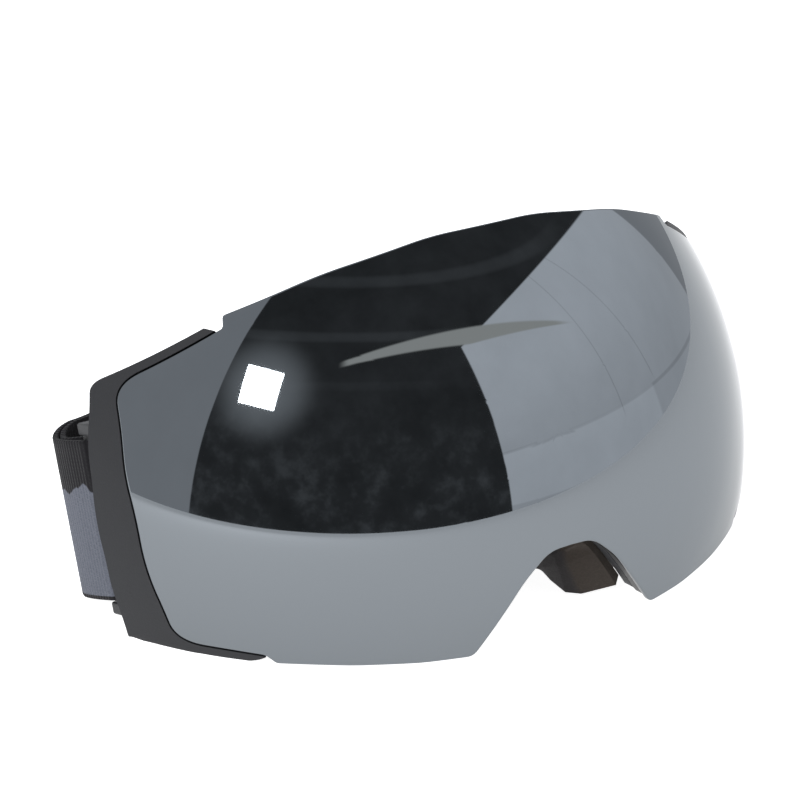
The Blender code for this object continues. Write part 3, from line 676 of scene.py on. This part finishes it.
def recess(grid, places, half, surface_radius, floor_radius, round_hole=False):
    """Pushes the points of one face to another radius wherever they lie inside a rectangle or a
    circle about a place: the two tests are distances along the rim and across it."""
    radius = np.linalg.norm(grid, axis=-1)
    on_face_now = np.abs(radius - surface_radius) < 0.02
    out = grid / radius[..., None] * LENS_RADIUS
    for middle, run, cross in places:
        a, b = np.abs((out - middle) @ run) / half[0], np.abs((out - middle) @ cross) / half[1]
        inside = (np.hypot(a, b) if round_hole else np.maximum(a, b)) < 1.0
        chosen = inside & on_face_now & ((out * middle).sum(-1) > 0)
        grid[chosen] *= (floor_radius / radius[chosen])[:, None]
    return grid


MAGNET_PLACES = rim_places(((14.0, 1), (46.0, 1), (31.0, -1), (55.0, -1)))
PEG_PLACES = rim_places(((30.0, 1), (44.0, -1)))
print("surface helpers ready,", len(MAGNET_PLACES), "magnets and", len(PEG_PLACES), "pegs")

# %% [markdown]
# The outer lens is one piece of a sphere, 1.6 mm thick, with a silver mirror coat over dark
# polycarbonate. A mirror shows the smallest dent, so every point is worked out on the true sphere
# instead of smoothing a coarse shape. Rings run from a middle point out to the edge, round the rim in
# a quarter circle on each side, and back along the inside.

# %% Outer lens
OUTER_BACK = 98.4
RIM_ROUND = 0.45


def lens_pane(name, edge_inset, front, back, rim_round, rings):
    """A closed spherical pane. A ring at share s lies at s times the edge's distance from the
    middle; the rim's points follow a quarter circle in inset and radius."""
    middle = np.array([0.0, CENTRE_U])
    shares = np.sin(np.linspace(0.0, 1.0, rings) * math.pi / 2)[:, None, None]
    shares = np.maximum(shares, 0.004)
    turns = np.linspace(0, math.pi / 2, 5)
    edge_lines, edge_radii = [], []
    for turn in turns:
        edge_lines.append(rim_line(edge_inset + rim_round * (1 - math.sin(turn))))
        edge_radii.append(front - rim_round * (1 - math.cos(turn)))
    for turn in turns:
        edge_lines.append(rim_line(edge_inset + rim_round * (1 - math.cos(turn))))
        edge_radii.append(back + rim_round * (1 - math.sin(turn)))
    first = middle + (edge_lines[0] - middle) * shares[:-1]
    last = middle + (edge_lines[-1] - middle) * shares[-2::-1]
    rim = np.array(edge_lines)
    flat = np.concatenate([first, rim, last])
    radii = np.concatenate([np.full(len(first), front), edge_radii, np.full(len(last), back)])
    grid = on_sphere(flat, np.repeat(radii[:, None], len(STATIONS), axis=1))
    return surface(name, grid, ring_columns=True, ends="rows", table=False)


mirror = Finish("mirror_coat")
smear = mirror.noise(mirror.place(), 30.0, 2.0)
mirror.set(
    Base_Color=tint(0.160, 0.174, 0.187),
    Metallic=1.0,
    Specular_Tint=grey(0.78),
    Roughness=smear.step(0.35, 0.8) * 0.012 + 0.018,
)
dark_pane = Finish("lens_inside").set(
    Base_Color=tint(0.012, 0.013, 0.015), Roughness=0.09, Coat_Weight=0.3, Coat_Roughness=0.05
)

outer_lens = lens_pane("mirror_lens", 0.0, LENS_RADIUS, OUTER_BACK, RIM_ROUND, 40)
finish_piece(outer_lens, mirror, "lens", "mirror_lens", "outer_lens")
outer_lens.data.materials.append(dark_pane.data)
centres = np.empty(len(outer_lens.data.polygons) * 3)
outer_lens.data.polygons.foreach_get("center", centres)
away = np.linalg.norm(centres.reshape(-1, 3) / MM - np.array(LENS_CENTRE) / MM, axis=1)
outer_lens.data.polygons.foreach_set("material_index", (away < LENS_RADIUS - 1.2).astype(np.int32))

# %% [markdown]
# Behind the mirror lens a thin clear lens keeps warm air off the cold one, as in double glazing. A
# foam seal holds the two apart, and a black carrier ring bonded behind the lens's rim holds the
# magnets and the four pegs that find their holes in the frame.

# %% Inner lens, seal and carrier
clear = Finish("clear_pane").set(
    Base_Color=tint(0.80, 0.84, 0.86), Roughness=0.06, Alpha=0.16, Metallic=0.0, IOR=1.49
)
CARRIER_FRONT, CARRIER_BACK, SEAL_BACK = 97.8, 95.2, 94.6
inner_lens = lens_pane("clear_lens", 6.1, 93.4, 92.6, 0.2, 16)
finish_piece(inner_lens, clear, "lens", "clear_lens", "inner_lens")

seal_foam = Finish("seal_foam")
seal_cells = seal_foam.noise(seal_foam.place(), 2600.0, 2.0)
seal_foam.set(
    Base_Color=seal_foam.blend(seal_cells, grey(0.012), grey(0.05)),
    Roughness=0.95,
    Normal=seal_foam.bump(seal_cells, 0.0003, 0.6),
)
seal_outer, seal_inner = rim_line(6.0), rim_line(9.5)
seal_grid = ring_grid(seal_outer, seal_inner, CARRIER_FRONT, SEAL_BACK, 3)
seal = surface("lens_seal", seal_grid, ring_rows=True, ring_columns=True, table=False)
finish_piece(round_edges(seal, 0.4, 2), seal_foam, "lens", "foam", "lens_spacer_seal")

satin = Finish("satin_black")
satin_grain = satin.noise(satin.place(), 1800.0, 3.0)
satin.set(
    Base_Color=satin.blend(satin_grain, tint(0.010, 0.010, 0.011), tint(0.018, 0.018, 0.019)),
    Roughness=satin_grain * 0.2 + 0.36,
    Normal=satin.bump(satin_grain, 0.00006, 0.5),
)
carrier_outer, carrier_inner = rim_line(0.6), rim_line(5.6)
MAGNET_RECESS, PEG_HOLE = (4.4, 2.1), (1.6, 1.6)
carrier_grid = ring_grid(carrier_outer, carrier_inner, CARRIER_FRONT, CARRIER_BACK, 10)
carrier_grid = recess(carrier_grid, MAGNET_PLACES, MAGNET_RECESS, CARRIER_BACK, 96.0)
carrier = surface("carrier_ring", carrier_grid, ring_rows=True, ring_columns=True, table=False)
finish_piece(round_edges(carrier, 0.2, 2, 60.0), satin, "lens", "black_plastic", "lens_carrier")

# Each peg is a turned shape: radii at distances behind the carrier, with a rounded tip.
PEG_RADIUS, PEG_REACH = 1.1, 2.3
PEG_TIP = ((0.8, PEG_REACH - 0.15), (0.3, PEG_REACH))
PEG_PROFILE = ((PEG_RADIUS, -1.0), (PEG_RADIUS, PEG_REACH - 0.6), *PEG_TIP)
around = np.linspace(0, 2 * math.pi, 25)[:-1]
for number, (middle, *_) in enumerate(PEG_PLACES, start=1):
    x, y, z = middle * (CARRIER_BACK / LENS_RADIUS)
    rings = [
        np.stack([x + r * np.cos(around), np.full(len(around), y + reach), z + r * np.sin(around)], -1)
        for r, reach in PEG_PROFILE
    ]
    peg = surface(f"carrier_peg_{number}", rings, ring_columns=True, ends="rows", table=False)
    finish_piece(peg, satin, "lens", "black_plastic")

# %% [markdown]
# The front frame is a narrow ring that the lens sits on. At the sides it grows into two cheeks that
# stand level with the lens and hide the strap's bars. It is moulded in matte charcoal plastic with a
# fine spark-eroded grain, so its highlights are broad and soft.

# %% Frame finish
charcoal = Finish("charcoal_plastic")
spot = charcoal.place()
grain = charcoal.noise(spot, 2400.0, 2.0, 0.6)
broad = charcoal.noise(spot, 60.0, 2.0)
charcoal.set(
    Base_Color=charcoal.blend(broad, tint(0.013, 0.0135, 0.016), tint(0.018, 0.0185, 0.021)),
    Roughness=grain * 0.12 + broad * 0.06 + 0.50,
    Specular_IOR_Level=0.36,
    Normal=charcoal.bump(grain, 0.00008, 0.55),
)
SEAT_FRONT, SEAT_BACK = 94.5, 91.9
seat_outer = read_at(whole(SEAT_OUTLINE), STATIONS)
seat_grid = ring_grid(seat_outer, carrier_inner, SEAT_FRONT, SEAT_BACK, 10)
seat_grid = recess(seat_grid, MAGNET_PLACES, MAGNET_RECESS, SEAT_FRONT, 93.4)
seat_grid = recess(seat_grid, PEG_PLACES, PEG_HOLE, SEAT_FRONT, 92.2, round_hole=True)
seat = surface("frame_seat", seat_grid, ring_rows=True, ring_columns=True, table=False)
finish_piece(round_edges(seat, 0.2, 2, 60.0), charcoal, "frame", "dark_plastic", "front_frame")

# %% Cheeks
CHEEK_FRONT, CHEEK_BACK = 99.7, 92.6
CHEEK_TOP, CHEEK_FOOT = math.radians(60.9), math.radians(121.0)
LENS_GAP = 0.45


def cheek(name, side):
    """A strip of the frame's ring between two angles. Its width fades as a quarter circle over the
    last stretch of its foot, which rounds the tongue."""
    angles = CHEEK_TOP + (CHEEK_FOOT - CHEEK_TOP) * np.linspace(0, 1, 420)
    pocket = read_at(inset_on_sphere(LENS_LINE, -LENS_GAP), angles)
    outer = read_at(whole(CHEEK_OUTLINE), angles)
    left = np.clip((CHEEK_FOOT - angles) / math.radians(1.6), 0, 1)[:, None]
    fade = np.sqrt(1 - (1 - left) ** 2) * 0.9 + 0.1
    outer = pocket + (outer - pocket) * fade
    corners = [(pocket, CHEEK_FRONT), (outer, CHEEK_FRONT), (outer, CHEEK_BACK), (pocket, CHEEK_BACK)]
    rows = section_rows([(line * (side, 1), radius) for line, radius in corners], 5)
    piece = surface(name, over_table(rows, 0.0), ring_rows=True, ends="columns", table=False)
    return finish_piece(round_edges(piece, 0.7, 4), charcoal, "frame", "dark_plastic")


cheek("cheek_left", 1)
cheek("cheek_right", -1)


def block(name, along_x, forward, height, finish, body, slot, rounding=0.5):
    """A rounded block from its spans along x, forwards and in height, in millimetres."""
    (x0, x1), (f0, f1), (z0, z1) = along_x, forward, height
    ring = [(x0, -f0), (x1, -f0), (x1, -f1), (x0, -f1)]
    points = [[(x, y, z) for x, y in ring] for z in (z0, z1)]
    piece = surface(name, points, ring_columns=True, ends="rows", table=False)
    return finish_piece(round_edges(piece, rounding, 4), finish, body, slot)


# Two ears on the back of each cheek hold the strap's bar, one below the strap and one above it.
EAR_X, EAR_FORWARD, EAR_THICKNESS, EAR_GAP = (82.0, 86.0), (31.8, 44.3), 3.0, 0.8
STRAP_AT_BAR = (-16.4, 21.6)
for label, side in (("left", 1), ("right", -1)):
    lower, upper = STRAP_AT_BAR[0] - EAR_GAP - EAR_THICKNESS, STRAP_AT_BAR[1] + EAR_GAP
    for edge, low in (("lower", lower), ("upper", upper)):
        spans = sorted((side * EAR_X[0], side * EAR_X[1])), EAR_FORWARD, (low, low + EAR_THICKNESS)
        block(f"strap_ear_{edge}_{label}", *spans, charcoal, "frame", "dark_plastic", 0.6)

# %% [markdown]
# The flange is the soft grey-black moulding that carries the foam. Its wall runs from behind the lens
# to the face, and its vents let air through. Here the wall is one grid from front to back, with a lip
# for the foam at its end. The vents are cells left out of that grid before it gets its thickness.

# %% Flange
FLANGE_FRONT_RADIUS, FLANGE_WALL, FLANGE_LIP = 91.2, 2.0, 10.0
TOP_VENTS_X = (-46.0, -23.0, 0.0, 23.0, 46.0)
LOWER_VENTS_X = (33.0, 54.0)
VENT_HALF = 7.5

rubber = Finish("soft_rubber")
rubber_grain = rubber.noise(rubber.place(), 900.0, 3.0)
rubber.set(
    Base_Color=rubber.blend(rubber_grain, tint(0.006, 0.006, 0.0065), tint(0.012, 0.0118, 0.012)),
    Roughness=rubber_grain * 0.15 + 0.52,
    Normal=rubber.bump(rubber_grain, 0.0001, 0.4),
)
flange_front_line = read_at(whole(FLANGE_FRONT_OUTLINE), STATIONS)
flange_back_line = read_at(whole(FLANGE_BACK_OUTLINE), STATIONS)
lip_line = read_at(inset_on_face(whole(FLANGE_BACK_OUTLINE), FLANGE_LIP), STATIONS)
front_edge = on_sphere(flange_front_line, np.full(len(STATIONS), FLANGE_FRONT_RADIUS))
back_edge = on_face(flange_back_line, FLANGE_RADIUS)
WALL_ROWS, LIP_ROWS = 30, 8
wall_share = np.linspace(0, 1, WALL_ROWS)[:, None, None]
wall = front_edge * (1 - wall_share) + back_edge * wall_share
lip_share = (np.arange(1, LIP_ROWS + 1) / LIP_ROWS)[:, None, None]
lip = on_face(flange_back_line * (1 - lip_share) + lip_line * lip_share, FLANGE_RADIUS)
flange_grid = np.concatenate([wall, lip])
middle_x = wall[WALL_ROWS // 2, :, 0]
above = wall[WALL_ROWS // 2, :, 2] > CENTRE_U
in_vent = np.zeros(len(STATIONS), bool)
for vent_x in TOP_VENTS_X:
    in_vent |= above & (np.abs(middle_x - vent_x) < VENT_HALF * (1 - 0.12 * abs(vent_x) / 46))
for vent_x in LOWER_VENTS_X:
    in_vent |= ~above & (np.abs(np.abs(middle_x) - vent_x) < VENT_HALF * 0.8)
row_number = np.arange(WALL_ROWS + LIP_ROWS - 1)
vent_rows = (row_number >= 9) & (row_number < 19)
keep = ~(vent_rows[:, None] & in_vent[None, :])
flange = surface("flange", flange_grid, ring_columns=True, keep=keep, table=False)
thicken(flange, FLANGE_WALL, even=False)
round_edges(flange, 0.4, 2)
finish_piece(flange, rubber, "frame", "black_flange", "face_flange")

# %% [markdown]
# Three layers meet the face: firm foam that holds its shape, softer foam that takes up the face's
# form, and a thin brushed fleece against the skin. Each layer is a ring whose section is a rounded
# box that swells a little between its edges, as foam does where it is glued to flat faces only.

# %% Foam layers
FOAM_WIDTH = 11.0


def foam_ring(name, front, back, swell, inset=0.0):
    """A ring whose section is a superellipse: across the width as cos to a power, through the
    thickness as sin to a power, with the sides swollen by some millimetres."""
    outer = read_at(whole(FOAM_OUTLINE), STATIONS)
    inner = read_at(inset_on_face(whole(FOAM_OUTLINE), FOAM_WIDTH), STATIONS)
    turn = np.linspace(0, 2 * math.pi, 33)[:-1]
    wide = np.sign(np.cos(turn)) * np.abs(np.cos(turn)) ** 0.35
    deep = np.sign(np.sin(turn)) * np.abs(np.sin(turn)) ** 0.35
    rows = []
    for w, d in zip(wide, deep):
        side = 0.5 + w * (0.5 - inset / FOAM_WIDTH + swell / FOAM_WIDTH * (1 - d * d))
        line = inner + (outer - inner) * side
        rows.append(on_face(line, (front + back) / 2 + d * (front - back) / 2))
    return surface(name, rows, ring_rows=True, ring_columns=True, table=False)


def open_foam(name, dark, light, cell):
    """Open-cell foam: small round pits of two sizes."""
    made = Finish(name)
    where = made.place()
    pits = made.add("ShaderNodeTexVoronoi", {}, {"Vector": where, "Scale": cell})[0]
    fine = made.noise(where, cell * 2.2, 3.0)
    depth = pits.step(0.05, 0.5) * 0.7 + fine * 0.5
    made.set(
        Base_Color=made.blend(depth, dark, light),
        Roughness=0.96,
        Normal=made.bump(depth, 0.00035, 0.8),
    )
    return made


firm = open_foam("firm_foam", tint(0.006, 0.0052, 0.005), tint(0.026, 0.022, 0.020), 1500.0)
soft = open_foam("soft_foam", tint(0.008, 0.0065, 0.006), tint(0.034, 0.027, 0.024), 1100.0)
fleece = Finish("brushed_fleece")
nap_place = fleece.place()
nap = fleece.noise(nap_place, 1400.0, 6.0, 0.75)
clumps = fleece.noise(nap_place, 160.0, 3.0)
fleece.set(
    Base_Color=fleece.blend(nap * 0.7 + clumps * 0.3, tint(0.005, 0.005, 0.0055), tint(0.030, 0.029, 0.030)),
    Roughness=1.0,
    Sheen_Weight=0.5,
    Sheen_Roughness=0.4,
    Normal=fleece.bump(nap + clumps, 0.0004, 0.7),
)
firm_ring = finish_piece(foam_ring("foam_firm", 110.0, 104.6, 0.3), firm, "frame", "foam", "face_foam_firm")
soft_ring = finish_piece(foam_ring("foam_soft", 103.5, 97.6, 0.9), soft, "frame", "foam", "face_foam_soft")
fleece_ring = finish_piece(foam_ring("fleece", 96.9, 95.3, 0.3, 0.2), fleece, "frame", "foam", "face_fleece")

# %% [markdown]
# A soft arch lines the notch on the outside of the flange. It is thin over the nose and swells at
# both feet. Its skin is a grid: one way round the arch, the other from the flange's face forwards
# over the swelling. A painted highlight, a brown stripe of reflected warm light, runs where the pad meets
# the frame.

# %% Nose pad
PAD_SHARE = (0.02, 0.16, 0.31, 0.60, 0.94)
PAD_HALF_WIDTH = (20.0, 12.0, 9.6, 9.8, 11.6)
PAD_DROP = (3.4, 4.4, 4.4, 3.4, 3.0)
PAD_SPREAD, PAD_GAP, PAD_CEILING = math.radians(29.5), 1.2, 2.1


def nose_wall(share, turns):
    """Points of the flange's outside over the nose, at one share of its depth."""
    angles = math.pi + turns * PAD_SPREAD
    front_line = read_at(whole(FLANGE_FRONT_OUTLINE), angles)
    front = on_sphere(front_line, np.full(len(angles), FLANGE_FRONT_RADIUS))
    back = on_face(read_at(whole(FLANGE_BACK_OUTLINE), angles), FLANGE_RADIUS)
    return front * (1 - share) + back * share


def pad_lines(share, turns):
    """The pad's line against the flange and its line towards the nose. The width and the drop of
    the foot are read from the short tables above, and the drop fades to the ceiling as the square
    of the turn."""
    wall = nose_wall(share, turns)
    foot = abs(wall[0, 0])
    width, drop = np.interp(share, PAD_SHARE, PAD_HALF_WIDTH), np.interp(share, PAD_SHARE, PAD_DROP)
    near = wall * (1 - PAD_GAP / foot, 1, 1) - (0, 0, PAD_GAP)
    far = wall * (width / foot, 1, 1)
    far[:, 2] -= PAD_CEILING + (drop - PAD_CEILING) * turns**2
    return near, far


pad_turns = np.linspace(-1, 1, 121)
pad_shares = np.linspace(PAD_SHARE[0], PAD_SHARE[-1], 46)
pad_pairs = [pad_lines(share, pad_turns) for share in pad_shares]
pad_rows = [near for near, far in pad_pairs] + [far for near, far in pad_pairs[::-1]]
pad = surface("nose_pad_skin", over_table(pad_rows, 0.35), ring_rows=True, ends="columns", table=False)
pad_skin = Finish("nose_pad_skin")
pad_place = pad_skin.place()
pad_nap = pad_skin.noise(pad_place, 1500.0, 5.0, 0.7)
pad_run = pad_skin.add("ShaderNodeSeparateXYZ", {}, {0: pad_place})[1]
# Painted highlight: a brown stripe of reflected warm light, painted into the colour along the pad's edge
# against the frame.
highlight_edge_level = pad_skin.noise(pad_place, 90.0, 3.0) * 0.0016 + pad_run
pad_painted_highlight = (0.0 - highlight_edge_level).step(0.0345, 0.0365)
pad_skin.set(
    Base_Color=pad_skin.blend(
        pad_painted_highlight * 0.9,
        pad_skin.blend(pad_nap, tint(0.007, 0.006, 0.0065), tint(0.024, 0.020, 0.021)),
        pad_skin.blend(pad_nap, tint(0.018, 0.0135, 0.010), tint(0.048, 0.036, 0.027)),
    ),
    Roughness=0.95,
    Normal=pad_skin.bump(pad_nap, 0.0003, 0.7),
)
finish_piece(round_edges(pad, 0.5, 3, 50.0), pad_skin, "frame", "foam", "nose_pad")

# %% [markdown]
# The strap is one length of woven elastic. It leaves a bar behind each cheek, folds in behind the
# foam and crosses to the other side, and each end comes back along the inside and folds round the
# slider's middle bar. A strip of webbing is two edge lines with straight lines between them, so a
# handful of edge points on each side, joined by a smooth curve, gives the whole band.

# %% Strap path
STRAP_WIDTH, STRAP_THICKNESS = 38.0, 1.5
LAYER_STEP = 1.8
BAR_X, BAR_FORWARD, BAR_RADIUS, BAR_LOW = 84.0, 33.8, 1.6, STRAP_AT_BAR[0]
WRAP_RADIUS = BAR_RADIUS + 0.3 + STRAP_THICKNESS / 2
TURN_X, TURN_FORWARD, TURN_RADIUS, TURN_LOW = 78.4, 24.0, 9.5, -13.8
REAR_X, REAR_LOW, REAR_FORWARD = 64.0, -10.2, TURN_FORWARD - TURN_RADIUS
SLIDER_X, SLIDER_HALF, SLIDER_TRAVEL, SLIDER_BAR = 42.0, 11.0, 10.0, 3.2
TAIL_LENGTH = 17.0


def smooth(t):
    t = min(1.0, max(0.0, t))
    return t * t * (3 - 2 * t)


def row(x, forward, low):
    """The strap's lower and upper edge points, one above the other."""
    return np.array([[x, -forward, low], [x, -forward, low + STRAP_WIDTH]])


def turn_rows(inset):
    """Round the turn behind the cheek, on a smaller radius for an inner layer."""
    rows = []
    for share in np.linspace(0, 1, 8):
        turn, radius = math.pi / 2 * share, TURN_RADIUS - inset
        low = BAR_LOW + (TURN_LOW - BAR_LOW) * smooth(share)
        rows.append(row(TURN_X + radius * math.cos(turn), TURN_FORWARD - radius * math.sin(turn), low))
    return rows


def rear_rows(inset, stops):
    """Along the back, rising to the height where the sliders carry the strap."""
    lows = [TURN_LOW + (REAR_LOW - TURN_LOW) * smooth((TURN_X - x) / (TURN_X - REAR_X)) for x in stops]
    return [row(x, REAR_FORWARD + inset, low) for x, low in zip(stops, lows)]


def through(rows, step=0.6):
    """A smooth curve through the edge points, as a Catmull-Rom spline at even steps: between two
    points the curve is the cubic whose slopes are half the way from the point before to the one
    after."""
    rows = np.array(rows)
    padded = np.concatenate([2 * rows[:1] - rows[1:2], rows, 2 * rows[-1:] - rows[-2:-1]])
    p0, p1, p2, p3 = padded[:-3], padded[1:-2], padded[2:-1], padded[3:]
    t = np.linspace(0, 1, 17)[:-1][:, None, None, None]
    curve = 0.5 * (
        2 * p1
        + (p2 - p0) * t
        + (2 * p0 - 5 * p1 + 4 * p2 - p3) * t**2
        + (3 * p1 - p0 - 3 * p2 + p3) * t**3
    )
    curve = np.concatenate([np.swapaxes(curve, 0, 1).reshape(-1, 2, 3), rows[-1:]])
    middle = curve.mean(axis=1)
    length = np.concatenate([[0], np.cumsum(np.linalg.norm(np.diff(middle, axis=0), axis=1))])
    wanted = np.linspace(0, length[-1], int(length[-1] / step))
    even = [[np.interp(wanted, length, curve[:, edge, axis]) for axis in range(3)] for edge in range(2)]
    return np.moveaxis(np.array(even), -1, 0), wanted


def webbing(name, rows, thickness=STRAP_THICKNESS, across=25):
    """A band through rows of edge points, ruled from edge to edge, with the length along it and the
    share across it as its UV map."""
    edges, length = through(rows)
    share = np.linspace(0, 1, across)[None, :, None]
    points = edges[:, :1] * (1 - share) + edges[:, 1:] * share
    uv = np.stack(np.broadcast_arrays(length[:, None] * MM, share[0, :, 0][None, :]), axis=-1)
    piece = surface(name, points, table=False, uv=uv)
    thicken(piece, thickness, 0.0)
    return round_edges(piece, 0.35, 2)


def mirrored(rows):
    return [row * (-1, 1, 1) for row in rows]


wrap_turns = np.radians(np.linspace(180, 0, 9))
wrap = [
    row(BAR_X + WRAP_RADIUS * math.cos(t), BAR_FORWARD + WRAP_RADIUS * math.sin(t), BAR_LOW)
    for t in wrap_turns
]
bow = [row(BAR_X + WRAP_RADIUS + 0.95, BAR_FORWARD - 5.0, BAR_LOW)]
band_side = wrap + bow + turn_rows(0.0) + rear_rows(0.0, (74.8, 71.2, 67.6, REAR_X, 48.0, 32.0, 16.0))
band_rows = band_side + rear_rows(0.0, (0.0,)) + mirrored(band_side)[::-1]
print("band rows", len(band_rows))

# %% [markdown]
# The weave: fine ribs across the band, each a row of knots, in dark yarn above and heathered grey
# yarn below. The border between them is a jagged ridge like a row of peaks. It is a sum of triangle
# waves of different lengths along the strap, and the fineness of the yarn is in the bump.

# %% Strap finish
weave = Finish("strap_weave")
strap_uv = weave.add("ShaderNodeUVMap", {"uv_map": "along"})[0]
run, rise, _ = weave.add("ShaderNodeSeparateXYZ", {}, {0: strap_uv})


def peaks(length, shift, height):
    """A triangle wave along the strap."""
    wave = (run / length + shift).fraction() - 0.5
    return wave.size() * (2.0 * height)


ridge = peaks(0.031, 0.15, 0.16) + peaks(0.0123, 0.4, 0.07) + peaks(0.0047, 0.2, 0.03)
upper = (rise - ridge - 0.52).step(-0.006, 0.006)
rib = (run * (2 * math.pi / 0.0011)).sine() * 0.5 + 0.5
knot = (rise * (STRAP_WIDTH * MM * 2 * math.pi / 0.0009)).sine() * 0.5 + 0.5
heather = weave.noise(strap_uv, 900.0, 3.0, 0.7)
grey_yarn = weave.blend(heather.step(0.32, 0.68), tint(0.055, 0.061, 0.076), tint(0.165, 0.176, 0.214))
dark_yarn = weave.blend(heather, tint(0.004, 0.0038, 0.0046), tint(0.016, 0.015, 0.018))
binding = (0.030 - rise).step(0.0, 0.004).most((rise - 0.985).step(0.0, 0.004))
yarn = weave.blend(upper.most(binding), grey_yarn, dark_yarn)
weave_height = rib * 0.5 + knot * rib * 0.5 + heather * 0.5
weave.set(
    Base_Color=yarn,
    Roughness=0.9,
    Specular_IOR_Level=0.2,
    Sheen_Weight=0.05,
    Normal=weave.bump(weave_height, 0.00025, 0.7),
)

finish_piece(webbing("strap_band_weave", band_rows), weave, "frame", "strap", "strap_band")

# %% Strap ends
return_x = BAR_X - WRAP_RADIUS
return_line = [row(return_x, BAR_FORWARD - back, BAR_LOW) for back in (0.6, 2.4)]
return_line.append(row(return_x + 2.9, BAR_FORWARD - 6.0, BAR_LOW))
return_line += turn_rows(LAYER_STEP)
return_end = SLIDER_X + SLIDER_TRAVEL + SLIDER_BAR / 2 + 0.8
return_line += rear_rows(LAYER_STEP, (74.8, 71.2, 67.6, REAR_X, 59.0, return_end))
tail_first, tail_fold = REAR_FORWARD + LAYER_STEP, SLIDER_X - SLIDER_BAR / 2
tail_line = [row(SLIDER_X + SLIDER_BAR / 2, tail_first, REAR_LOW)]
for turn in np.linspace(0, math.pi, 9):
    reach = LAYER_STEP * (1 - math.cos(turn))
    tail_line.append(row(tail_fold - LAYER_STEP * math.sin(turn), tail_first + reach, REAR_LOW))
for share in (0.33, 0.67, 1.0):
    tail_line.append(row(tail_fold + TAIL_LENGTH * share, tail_first + 2 * LAYER_STEP, REAR_LOW))
for label, side in (("left", 1), ("right", -1)):
    turned = (lambda rows: rows) if side > 0 else mirrored
    ends = (
        ("return", return_line, "frame", f"strap_return_{label}"),
        ("tail", tail_line, f"slider_{label}", f"strap_tail_{label}"),
    )
    for part, rows, body, node in ends:
        piece = webbing(f"strap_{part}_weave_{label}", turned(rows))
        finish_piece(piece, weave, body, "strap", node)

# %% [markdown]
# Carried-over pieces: the black-plated bars and the nickel-plated magnets keep the frame's own
# shapes, which are right already, and get a better finish. The sliders are ladders of rounded blocks,
# and three silicone lines on the inside of the strap keep it from slipping on a helmet.

# %% Metal and sliders
nickel = Finish("nickel")
scratch = nickel.noise(nickel.place(), 700.0, 4.0, 0.7)
nickel.set(
    Base_Color=nickel.blend(scratch, tint(0.42, 0.42, 0.43), tint(0.62, 0.61, 0.60)),
    Metallic=1.0,
    Roughness=scratch * 0.2 + 0.22,
    Normal=nickel.bump(scratch, 0.00004, 0.4),
)


def dress(node, finish):
    """A new finish on one of the frame's own nodes."""
    shape = frame["nodes"][node]
    for child in [shape, *shape.children]:
        if child.type == "MESH":
            for slot in child.material_slots:
                slot.material = finish.data


metal_nodes = [n for n in frame["nodes"] if "magnet" in n]
for node in metal_nodes:
    dress(node, nickel)
for node in ("strap_bar_left", "strap_bar_right"):
    dress(node, satin)
SHELL_FRONT = REAR_FORWARD - STRAP_THICKNESS / 2 - 0.4
BAR_BACK = REAR_FORWARD + LAYER_STEP + STRAP_THICKNESS / 2 + 0.3
SLIDER_LOW, SLIDER_HIGH = REAR_LOW - 0.4, REAR_LOW + STRAP_WIDTH + 0.4
RAIL, END = 2.4, 3.6
for label, side in (("left", 1), ("right", -1)):
    outer_in, outer_out = SLIDER_X - SLIDER_HALF, SLIDER_X + SLIDER_HALF
    depth, shell = (SHELL_FRONT - 1.6, BAR_BACK + 1.5), (SHELL_FRONT - 1.6, SHELL_FRONT)
    high = (SLIDER_LOW - 1.0, SLIDER_HIGH + 1.0)
    bar = (SLIDER_X - SLIDER_BAR / 2, SLIDER_X + SLIDER_BAR / 2)
    parts = (
        ("rail_low", (outer_in, outer_out), depth, (SLIDER_LOW - RAIL, SLIDER_LOW), 1.1),
        ("rail_high", (outer_in, outer_out), depth, (SLIDER_HIGH, SLIDER_HIGH + RAIL), 1.1),
        ("end_in", (outer_in, outer_in + END), shell, high, 0.5),
        ("end_out", (outer_out - END, outer_out), shell, high, 0.5),
        ("middle", bar, (BAR_BACK, BAR_BACK + 1.5), high, 0.5),
    )
    for part, along_x, forward, height, rounding in parts:
        spans = sorted(side * x for x in along_x), forward, height
        piece = block(f"slider_{part}_{label}", *spans, satin, f"slider_{label}", "black_plastic", rounding)
        if part == "rail_low":
            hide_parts(f"slider_{label}")

silicone = Finish("silicone_lines").set(
    Base_Color=grey(0.02), Roughness=0.28, Coat_Weight=0.4, Coat_Roughness=0.2
)
GRIP_LOWS, GRIP_WIDTH, GRIP_HALF = (-4.0, 7.8, 19.6), 2.0, 26.0
for number, low in enumerate(GRIP_LOWS, start=1):
    spans = (-GRIP_HALF, GRIP_HALF), (REAR_FORWARD + 0.7, REAR_FORWARD + 1.1), (low, low + GRIP_WIDTH)
    block(f"grip_line_{number}", *spans, silicone, "frame", "strap", 0.18)
for node in ("top_vent_foam", "lower_vent_foam_left", "lower_vent_foam_right"):
    dress(node, firm)
print("dressed", len(metal_nodes), "metal nodes")
